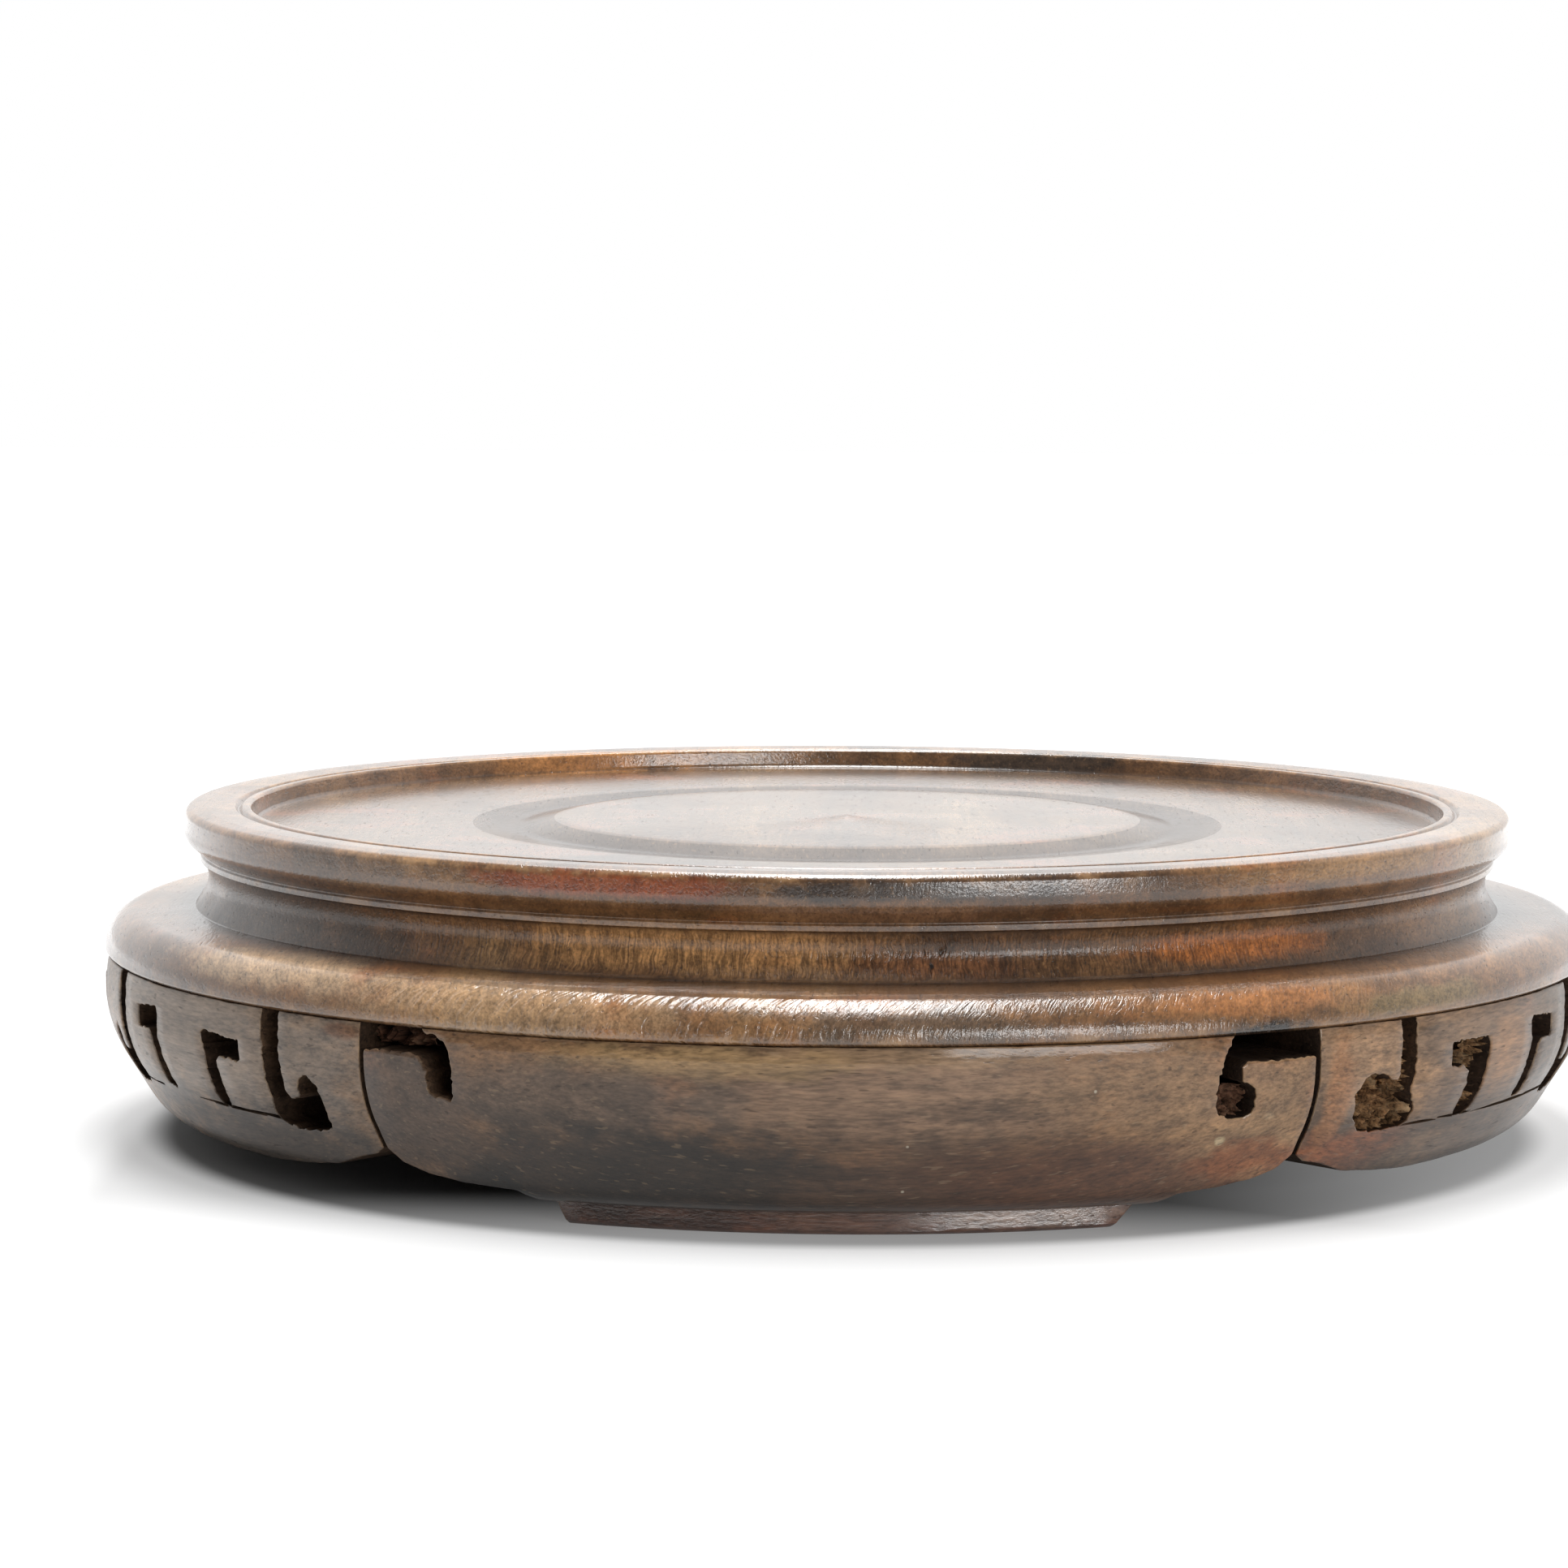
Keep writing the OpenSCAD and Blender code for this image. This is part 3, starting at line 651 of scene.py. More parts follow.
@dataclass
class WoodMaterial:
    """Procedural wood with its grain along one direction of the level plane."""

    name: str
    finish: WoodFinish
    grain_turn: float
    seed: float = 0.0
    patches: Sequence[Patch] = ()
    wear: bool = True
    specks: float = 0.0

    def build(self) -> Material:
        """Builds the material.

        Returns:
            The finished material.
        """
        board = NodeBoard(bpy.data.materials.new(self.name))
        finish = self.finish
        place = board.add("TexCoord").outputs["Object"]
        turned = board.add("VectorRotate", rotation_type="Z_AXIS")
        board.feed(turned.inputs["Vector"], place)
        turned.inputs["Angle"].default_value = math.radians(-self.grain_turn)
        grain = turned.outputs[0]

        bands = board.noise(grain, (7, 60, 60), 3.0, 0.55, self.seed)
        streaks = board.noise(grain, (45, 700, 700), 4.0, 0.6, self.seed + 3)
        fibres = board.noise(grain, (420, 2700, 2700), 2.0, 0.6, self.seed + 5)
        flecks = board.noise(grain, (330, 2100, 2100), 1.0, 0.5, self.seed + 9)
        blotch = board.noise(place, (55, 55, 70), 4.0, 0.6, self.seed + 13)
        cloud = board.noise(place, (16, 16, 30), 3.0, 0.5, self.seed + 17)
        ragged = board.noise(place, (160, 160, 260), 4.0, 0.65, self.seed + 21)

        tone = board.plus(board.times(bands, 0.5), board.times(cloud, 0.5))
        colour = board.mix(board.spread(tone, 0.34, 0.52), finish.dark, finish.mid)
        colour = board.mix(board.spread(tone, 0.50, 0.68), colour, finish.light)
        colour = board.mix(board.spread(blotch, 0.52, 0.72, 0.0, 0.60), colour, finish.dark)
        colour = board.mix(board.spread(blotch, 0.46, 0.30, 0.0, 0.55), colour, finish.flush)
        # Stains, and the painted shade, shadow, highlight and reflection marked in the patch lists.
        for patch in self.patches:
            colour = board.mix(self._patch_mask(board, place, ragged, patch), colour, patch.colour)
        force = finish.contrast
        shade = board.plus(board.spread(fibres, 0.25, 0.75, -0.38 * force, 0.38 * force),
                           board.spread(streaks, 0.3, 0.7, 1.0 - 0.28 * force, 1.0 + 0.28 * force))
        shade = board.times(shade, board.spread(ragged, 0.3, 0.7, 0.82, 1.18))
        colour = board.scaled(colour, shade)
        pore_mask = board.spread(flecks, 0.66, 0.76)
        colour = board.mix(board.times(pore_mask, 0.65 * force), colour, finish.pore)
        pale_mask = board.spread(flecks, 0.36, 0.26)
        colour = board.mix(board.times(pale_mask, 0.28 * force), colour, finish.worn)
        height = board.math("SUBTRACT", board.times(fibres, 0.6), board.times(pore_mask, 0.35))
        height = board.plus(height, board.times(streaks, 0.6))
        colour, height = self._figure(board, place, colour, height)
        if self.wear:
            worn = board.add("Attribute", attribute_name="wear").outputs["Fac"]
            rub = board.times(worn, board.spread(ragged, 0.44, 0.66))
            colour = board.mix(board.times(rub, 0.65), colour, finish.worn)
            # Grime in the creases and scored lines, with painted shade across the moat and in the gaps of torn wood,
            # darkens towards the pore colour.
            grime_and_shade = board.add("Attribute", attribute_name="grime_and_shade").outputs["Fac"]
            colour = board.mix(board.times(grime_and_shade, board.spread(ragged, 0.25, 0.6, 0.45, 0.95)), colour, finish.pore)
        if self.specks > 0:
            colour = board.mix(self._speck_mask(board, place), colour, (0.60, 0.52, 0.40))
        board.feed(board.surface.inputs["Base Color"], colour)

        gloss = board.plus(board.spread(blotch, 0.3, 0.7, -0.07, 0.09), finish.roughness)
        gloss = board.plus(gloss, board.times(pore_mask, 0.20), clamp=True)
        board.feed(board.surface.inputs["Roughness"], gloss)
        board.surface.inputs["Coat Weight"].default_value = finish.coat
        board.surface.inputs["Coat Roughness"].default_value = finish.polish
        board.surface.inputs["Coat IOR"].default_value = COAT_IOR
        board.surface.inputs["Specular IOR Level"].default_value = finish.specular

        bump = board.add("Bump")
        bump.inputs["Strength"].default_value = finish.relief
        bump.inputs["Distance"].default_value = BUMP_DEPTH * MM
        board.feed(bump.inputs["Height"], height)
        board.feed(board.surface.inputs["Normal"], bump.outputs[0])
        board.feed(board.surface.inputs["Coat Normal"], bump.outputs[0])
        return board.owner

    def _figure(self, board: NodeBoard, place: Socket, colour: Socket,
                height: Socket) -> tuple[Socket, Socket]:
        """Adds a figure of its own to a wood that has one.

        Args:
            board: Nodes of the material.
            place: Object coordinates.
            colour: Colour so far.
            height: Relief so far.

        Returns:
            The colour and the relief.
        """
        return colour, height

    def _speck_mask(self, board: NodeBoard, place: Socket) -> Socket:
        """Makes the mask of small pale specks, scattered at random.

        Args:
            board: Nodes of the material.
            place: Object coordinates.

        Returns:
            The mask's output.
        """
        cells = board.add("TexVoronoi", feature="F1")
        board.feed(cells.inputs["Vector"], place)
        cells.inputs["Scale"].default_value = 170.0
        chance = board.add("SeparateColor")
        board.feed(chance.inputs[0], cells.outputs["Color"])
        dot = board.spread(cells.outputs["Distance"], 0.055, 0.030)
        return board.times(dot, board.math("LESS_THAN", chance.outputs[0], self.specks))

    def _patch_mask(self, board: NodeBoard, place: Socket, blotch: Socket,
                    patch: Patch) -> Socket:
        """Makes the soft mask of one patch.

        Args:
            board: Nodes of the material.
            place: Object coordinates.
            blotch: Noise that makes the patch's edge uneven.
            patch: Place, size and strength.

        Returns:
            The mask's output.
        """
        turn = math.radians(patch.angle)
        mapping = board.add("Mapping", vector_type="TEXTURE")
        board.feed(mapping.inputs["Vector"], place)
        mapping.inputs["Location"].default_value = (
            patch.radius * math.sin(turn) * MM, -patch.radius * math.cos(turn) * MM, patch.height * MM)
        mapping.inputs["Rotation"].default_value = (0.0, 0.0, turn)
        mapping.inputs["Scale"].default_value = [s * MM for s in patch.size]
        length = board.add("VectorMath", operation="LENGTH")
        board.feed(length.inputs[0], mapping.outputs[0])
        ragged = board.plus(length.outputs["Value"], board.times(board.math("SUBTRACT", blotch, 0.5), patch.ragged))
        return board.spread(ragged, 1.0, 0.35, 0.0, patch.strength)


@dataclass
class TurnedWood(WoodMaterial):
    """Wood of the turned plate, with torn end grain at the front."""

    cove: Point = (30.9, 36.6)
    tear: Patch = Patch(8.0, 86.5, 33.4, (9.0, 5.0, 2.2), (0.020, 0.012, 0.008), 1.0)

    def _figure(self, board: NodeBoard, place: Socket, colour: Socket,
                height: Socket) -> tuple[Socket, Socket]:
        """Adds the upright ripples of end grain in the cove, leaning on the shoulder, and the torn nicks.

        Args:
            board: Nodes of the material.
            place: Object coordinates.
            colour: Colour so far.
            height: Relief so far.

        Returns:
            The colour and the relief.
        """
        around, radius, rise = board.polar(place, 0.09)
        down = board.math("SUBTRACT", rise, radius)
        low, high = self.cove
        shoulder = board.spread(rise, (low + 0.3) * MM, (low - 0.8) * MM)
        cove = board.times(board.spread(rise, (low - 0.2) * MM, (low + 0.9) * MM),
                           board.spread(rise, (high + 0.2) * MM, (high - 0.9) * MM))
        lean = board.times(board.times(radius, 0.9), shoulder)
        wander = board.noise(place, (420, 420, 520), 2.0, 0.5, self.seed + 27)
        sway = board.times(board.math("SUBTRACT", wander, 0.5), 1.3 * MM)
        across = board.plus(board.plus(around, lean), sway)
        sheet = board.joined(across, down)
        ripple = board.noise(sheet, (3300, 260, 1), 2.0, 0.6, self.seed + 31)
        front = board.spread(board.math("ABSOLUTE", around), 0.085, 0.030)
        zone = board.plus(cove, board.plus(board.times(shoulder, 0.80), 0.20))
        share = board.times(front, zone, clamp=True)
        tint = board.times(front, board.plus(cove, 0.15), clamp=True)
        swing = board.times(tint, board.spread(ripple, 0.32, 0.68, -0.45, 0.45))
        colour = board.scaled(colour, board.plus(swing, 1.0))
        height = board.plus(height, board.times(share, board.times(ripple, 1.5)))
        streak = board.noise(sheet, (1150, 170, 1), 1.0, 0.5, self.seed + 41)
        tooled = board.times(shoulder, board.spread(around, 0.010, -0.018))
        tooled = board.times(tooled, board.spread(around, -0.062, -0.040))
        height = board.plus(height, board.times(tooled, board.times(streak, 6.0)))
        nicks = board.spread(board.noise(sheet, (900, 230, 1), 1.0, 0.5, self.seed + 37), 0.63, 0.68)
        nicks = board.times(nicks, self._patch_mask(board, place, ripple, self.tear))
        colour = board.mix(nicks, colour, self.tear.colour)
        return colour, board.math("SUBTRACT", height, board.times(nicks, 2.5))


@dataclass
class WallFace:
    """Outer and inner faces of a wall that stands round the axis, in millimetres."""

    outer: list[Point]
    inner_low: Point
    inner_high: Point

    def __post_init__(self) -> None:
        """Measures the length along the outer face at each of its points."""
        self.along = [0.0]
        for (r0, z0), (r1, z1) in zip(self.outer, self.outer[1:]):
            self.along.append(self.along[-1] + math.hypot(r1 - r0, z1 - z0))

    @property
    def height(self) -> float:
        """Length of the outer face from its foot to its top."""
        return self.along[-1]

    def point(self, v: float) -> Point:
        """Finds the outer face's point at a length from its foot.

        Args:
            v: Length from the foot, in millimetres.

        Returns:
            The point's radius and height.
        """
        for i in range(1, len(self.along)):
            if v <= self.along[i] or i == len(self.along) - 1:
                t = (v - self.along[i - 1]) / (self.along[i] - self.along[i - 1])
                (r0, z0), (r1, z1) = self.outer[i - 1], self.outer[i]
                return (r0 + (r1 - r0) * t, z0 + (z1 - z0) * t)
        return self.outer[-1]

    def length_at(self, z: float) -> float:
        """Finds the length from the face's foot to a height.

        Args:
            z: Height in millimetres.

        Returns:
            The length along the outer face.
        """
        for i in range(1, len(self.outer)):
            if z <= self.outer[i][1] or i == len(self.outer) - 1:
                t = (z - self.outer[i - 1][1]) / (self.outer[i][1] - self.outer[i - 1][1])
                return self.along[i - 1] + (self.along[i] - self.along[i - 1]) * t
        return self.height

    def inner(self, z: float) -> float:
        """Finds the inner face's radius at a height."""
        (r0, z0), (r1, z1) = self.inner_low, self.inner_high
        return r0 + (r1 - r0) * (z - z0) / (z1 - z0)


@dataclass
class WrappedPanel:
    """Sawn panel drawn flat as seen from outside, then wrapped round the axis on its wall."""

    name: str
    face: WallFace
    middle: float
    outline: list[Point]
    holes: list[list[Point]] = field(default_factory=list)
    edge: float = 0.16
    thickness: float = 11.0
    turn_step: float = 2.4
    rise_step: float = 1.2
    skew: float = 0.0
    skew_reach: float = 3.0
    score: Optional[tuple[float, float, float]] = None
    score_half: float = 0.28
    score_clear: float = 0.45
    on_line: float = 0.05
    rim_band: Point = (1.6, 0.05)
    sawn_below: float = 1.05
    smooth_angle: float = 32.0

    def flat(self, outline: Sequence[Point]) -> list[Point]:
        """Lays an outline in degrees from the panel's middle and heights out flat, in metres."""
        return [(math.radians(a) * FACE_R * MM, self.face.length_at(z) * MM) for a, z in outline]

    def build(self) -> Piece:
        """Builds the panel's mesh.

        Returns:
            The wrapped panel.
        """
        outlines = [self.outline, *self.holes]
        piece = outline_curve(self.name, [self.flat(o) for o in outlines], closed=True)
        data = piece.data
        data.fill_mode = "BOTH"
        data.bevel_depth = self.edge * MM
        data.bevel_resolution = 1
        data.offset = -self.edge * MM
        data.extrude = (self.thickness / 2 - self.edge) * MM
        bpy.ops.object.convert(target="MESH")
        piece = bpy.context.object
        bpy.ops.object.mode_set(mode="EDIT")
        bpy.ops.mesh.select_all(action="SELECT")
        bpy.ops.mesh.remove_doubles(threshold=1e-6)
        self._slice()
        bpy.ops.mesh.select_all(action="SELECT")
        bpy.ops.mesh.remove_doubles(threshold=2e-6)
        bpy.ops.mesh.normals_make_consistent(inside=False)
        bpy.ops.object.mode_set(mode="OBJECT")
        self._mark_wear(piece)
        self._mark_sawn(piece)
        self._wrap(piece)
        make_active(piece)
        bpy.ops.object.mode_set(mode="EDIT")
        bpy.ops.mesh.select_all(action="SELECT")
        bpy.ops.mesh.normals_make_consistent(inside=False)
        bpy.ops.object.mode_set(mode="OBJECT")
        smooth(piece, self.smooth_angle)
        return piece

    def _slice(self) -> None:
        """Cuts the flat panel into narrow strips both ways, so that it can bend."""
        angles = [a for a, _ in self.outline]
        step = math.radians(self.turn_step) * FACE_R * MM
        low = math.radians(min(angles)) * FACE_R * MM
        high = math.radians(max(angles)) * FACE_R * MM
        cuts = [low + step * k for k in range(1, int((high - low) / step) + 1)]
        rises = [self.rise_step * k for k in range(1, int(self.face.height / self.rise_step) + 1)]
        if self.score:
            at = self.face.length_at(self.score[0])
            rises = [v for v in rises if abs(v - at) > self.score_clear]
            rises += [at - self.score_half, at, at + self.score_half]
        for x in cuts:
            self._cut((x, 0.0, 0.0), (1.0, 0.0, 0.0))
        for v in rises:
            self._cut((0.0, v * MM, 0.0), (0.0, 1.0, 0.0))

    def _cut(self, at: tuple[float, float, float], normal: tuple[float, float, float]) -> None:
        """Cuts the whole flat panel along one plane."""
        bpy.ops.mesh.select_all(action="SELECT")
        bpy.ops.mesh.bisect(plane_co=at, plane_no=normal, use_fill=False, clear_inner=False, clear_outer=False)

    def _mark_wear(self, piece: Piece) -> None:
        """Writes the wear attribute: full on the rounded edges of the face, none on it and behind it.

        Args:
            piece: Flat panel.
        """
        front = self.thickness / 2 * MM
        mesh = piece.data
        wear = mesh.attributes.new("wear", "FLOAT", "POINT")
        on_rim = [0.0] * len(mesh.vertices)
        low, high = (front - share * self.edge * MM for share in self.rim_band)
        for vertex in mesh.vertices:
            if low < vertex.co.z < high:
                on_rim[vertex.index] = 1.0
        wear.data.foreach_set("value", on_rim)
        grime_and_shade = mesh.attributes.new("grime_and_shade", "FLOAT", "POINT")
        if self.score:
            score_z, reach, _ = self.score
            at = self.face.length_at(score_z) * MM
            for vertex in mesh.vertices:
                in_reach = abs(math.degrees(vertex.co.x / (FACE_R * MM))) < reach
                if in_reach and abs(vertex.co.y - at) < self.on_line * MM and vertex.co.z > 0:
                    grime_and_shade.data[vertex.index].value = 1.0

    def _mark_sawn(self, piece: Piece) -> None:
        """Gives the sawn walls and the back the second material slot.

        Args:
            piece: Flat panel.
        """
        limit = (self.thickness / 2 - self.sawn_below * self.edge) * MM
        heights = [vertex.co.z for vertex in piece.data.vertices]
        for face in piece.data.polygons:
            face.material_index = int(min(heights[i] for i in face.vertices) < limit)

    def _wrap(self, piece: Piece) -> None:
        """Bends the flat panel on to its wall.

        Args:
            piece: Flat panel.
        """
        half = self.thickness / 2 * MM
        left_end = math.radians(min(a for a, _ in self.outline))
        for vertex in piece.data.vertices:
            u, v, w = vertex.co
            turn = math.radians(self.middle) + u / (FACE_R * MM)
            r_out, z = self.face.point(v / MM)
            depth = (half - w) / (2 * half)
            if self.skew:
                nearness = max(0.0, 1.0 - (u / (FACE_R * MM) - left_end) / math.radians(self.skew_reach * self.skew))
                turn -= math.radians(self.skew) * depth * nearness
            if self.score and depth < 1e-4:
                score_z, reach, deep = self.score
                on_line = abs(v / MM - self.face.length_at(score_z)) < self.on_line
                if on_line and abs(math.degrees(u / (FACE_R * MM))) < reach:
                    depth += deep / self.thickness
            r = r_out + (self.face.inner(z) - r_out) * depth
            vertex.co = Vector((r * math.sin(turn), -r * math.cos(turn), z)) * MM


@dataclass
class TopPlate:
    """Turned plate with a rounded shoulder, a cove, a rim with a quirk line and a dished floor."""

    joint: float = 24.8
    stand_r: float = 100.0
    shoulder: float = 30.35
    shoulder_round: float = 4.8
    cove_foot: Point = (88.0, 30.75)
    cove_waist: Point = (85.7, 34.4)
    cove_head: Point = (86.85, 36.85)
    fillet_r: float = 87.35
    fillet_h: float = 0.85
    rim_r: float = 89.5
    rim_low: float = 39.9
    rim_under: float = 5.0
    top: float = 44.0
    rim_round: float = 1.05
    quirk_r: float = 82.2
    quirk_w: float = 0.55
    quirk_deep: float = 0.80
    dish_r: float = 80.5
    floor: float = 41.4
    moat_r: float = 45.2
    moat_w: float = 7.0
    moat_deep: float = 0.55
    boss_r: float = 39.0
    boss_top: float = 42.0
    boss_crown: float = 0.25
    boss_parts: int = 8
    steps: int = 300
    dish_band: float = 2.0
    wall_gap: float = 0.5
    moat_border: float = 2.2
    # Strength of the painted shade across the moat.
    moat_shade: float = 0.85
    wear_reach: float = 0.8
    grime_reach: float = 0.6
    smooth_angle: float = 38.0

    def profile(self) -> list[Corner]:
        """Gives the corners of the half section, from the middle of the dish to the middle of the underside.

        Returns:
            The corners, by their radius and height.
        """
        count = self.boss_parts
        crown = [(self.boss_r * part / count, 1 - (part / count) ** 2) for part in range(count)]
        return [
            *(Corner(r, self.boss_top + self.boss_crown * share) for r, share in crown),
            Corner(self.boss_r, self.boss_top, 8.0),
            Corner(self.moat_r - 0.9, self.floor - self.moat_deep, 5.0),
            Corner(self.moat_r + 0.9, self.floor - self.moat_deep, 12.0),
            Corner(self.moat_r + self.moat_w, self.floor, 30.0),
            Corner(self.dish_r - 0.15, self.floor - 0.1, 0.7),
            Corner(self.dish_r, self.top, 0.5),
            Corner(self.quirk_r - self.quirk_w, self.top - 0.05, 0.35),
            Corner(self.quirk_r, self.top - self.quirk_deep, 0.2),
            Corner(self.quirk_r + self.quirk_w, self.top - 0.05, 0.4),
            Corner(self.rim_r - 3.0, self.top + 0.08, 3.0),
            Corner(self.rim_r - 0.18, self.top - 0.1, self.rim_round),
            Corner(self.rim_r, self.top - 2.7, 7.0),
            Corner(self.rim_r, self.rim_low, self.rim_under),
            Corner(self.fillet_r - 0.35, self.cove_head[1] + self.fillet_h + 0.2, 0.1),
            Corner(self.fillet_r, self.cove_head[1] + self.fillet_h - 0.05, 0.10),
            Corner(self.fillet_r, self.cove_head[1] + 0.1, 0.10),
            Corner(*self.cove_head, 0.15),
            Corner(*self.cove_waist, 4.2),
            Corner(*self.cove_foot, 0.4),
            Corner(self.stand_r - 0.3, self.shoulder, self.shoulder_round),
            Corner(self.stand_r, self.joint + 0.5, 0.4),
            Corner(self.stand_r - 0.55, self.joint, 0.2),
            Corner(0.0, self.joint),
        ]

    def build(self) -> Piece:
        """Turns the plate.

        Returns:
            The finished mesh object.
        """
        path = rounded(self.profile(), step=9.0)
        piece = outline_curve("turned_plate", [[(r * MM, z * MM) for r, z in path]], closed=False)
        bpy.ops.object.convert(target="MESH")
        piece = bpy.context.object
        piece.data.transform(Matrix.Rotation(math.radians(90), 4, "X"))
        bpy.ops.object.mode_set(mode="EDIT")
        bpy.ops.mesh.select_all(action="SELECT")
        bpy.ops.mesh.spin(steps=self.steps, angle=math.tau, center=(0, 0, 0), axis=(0, 0, 1))
        bpy.ops.mesh.select_all(action="SELECT")
        bpy.ops.mesh.remove_doubles(threshold=5e-6)
        bpy.ops.mesh.normals_make_consistent(inside=False)
        bpy.ops.object.mode_set(mode="OBJECT")
        self._mark_wear(piece)
        self._mark_dull(piece)
        smooth(piece, self.smooth_angle)
        return piece

    def fit(self) -> None:
        """Builds the plate, dresses it and fixes it in place of its solid."""
        piece = self.build()
        finishes = {
            "plate_wood": PLATE_FINISH, "plate_worn": WORN_PLATE_FINISH, "plate_dull_shaded": DULL_SHADED_PLATE_FINISH,
            "plate_hollow": HOLLOW_PLATE_FINISH,
        }
        woods = [TurnedWood(name, finish, 90.0, 1.0, PLATE_PATCHES) for name, finish in finishes.items()]
        dress(piece, *(wood.build() for wood in woods))
        mount(piece, Wood.PLATE, "top_plate")

    def _mark_dull(self, piece: Piece) -> None:
        """Gives the worn dish the second material slot, its dulled moat, painted darker as shade, the third and the
        cove the fourth.

        Args:
            piece: Turned plate.
        """
        for face in piece.data.polygons:
            r, z = math.hypot(face.center.x, face.center.y) / MM, face.center.z / MM
            if z > self.floor - self.dish_band and r < self.dish_r - self.wall_gap:
                face.material_index = 2 if abs(r - self.moat_r) < self.moat_w - self.moat_border else 1
            elif self.cove_foot[1] < z < self.cove_head[1] and r < self.cove_foot[0]:
                face.material_index = 3

    def _mark_wear(self, piece: Piece) -> None:
        """Writes the wear along the arrises that hands and cloths reach, the grime in the creases and a painted shade
        across the moat.

        Args:
            piece: Turned plate.
        """
        arrises = [
            (self.dish_r + 0.4, self.top), (self.quirk_r + self.quirk_w, self.top), (self.rim_r - 0.4, self.top - 0.6),
            (self.fillet_r, self.cove_head[1] + 0.5), (self.stand_r - 0.2, self.joint + 0.6),
        ]
        creases = [
            (self.quirk_r, self.top - 0.45), (self.dish_r - 0.2, self.floor), self.cove_head,
            (self.cove_foot[0] + 0.1, self.cove_foot[1]), (self.stand_r - 0.6, self.joint),
        ]
        mesh = piece.data
        wear = mesh.attributes.new("wear", "FLOAT", "POINT")
        grime_and_shade = mesh.attributes.new("grime_and_shade", "FLOAT", "POINT")
        for vertex in mesh.vertices:
            r = math.hypot(vertex.co.x, vertex.co.y) / MM
            z = vertex.co.z / MM
            rubbed = min(math.hypot(r - a, z - b) for a, b in arrises)
            filled = min(math.hypot(r - a, z - b) for a, b in creases)
            wear.data[vertex.index].value = max(0.0, 1.0 - rubbed / self.wear_reach)
            # Painted shade across the moat.
            in_moat = 1.0 - abs(r - self.moat_r) / self.moat_w if z > self.floor - self.dish_band else 0.0
            grime_and_shade.data[vertex.index].value = max(0.0, 1.0 - filled / self.grime_reach, self.moat_shade * in_moat)


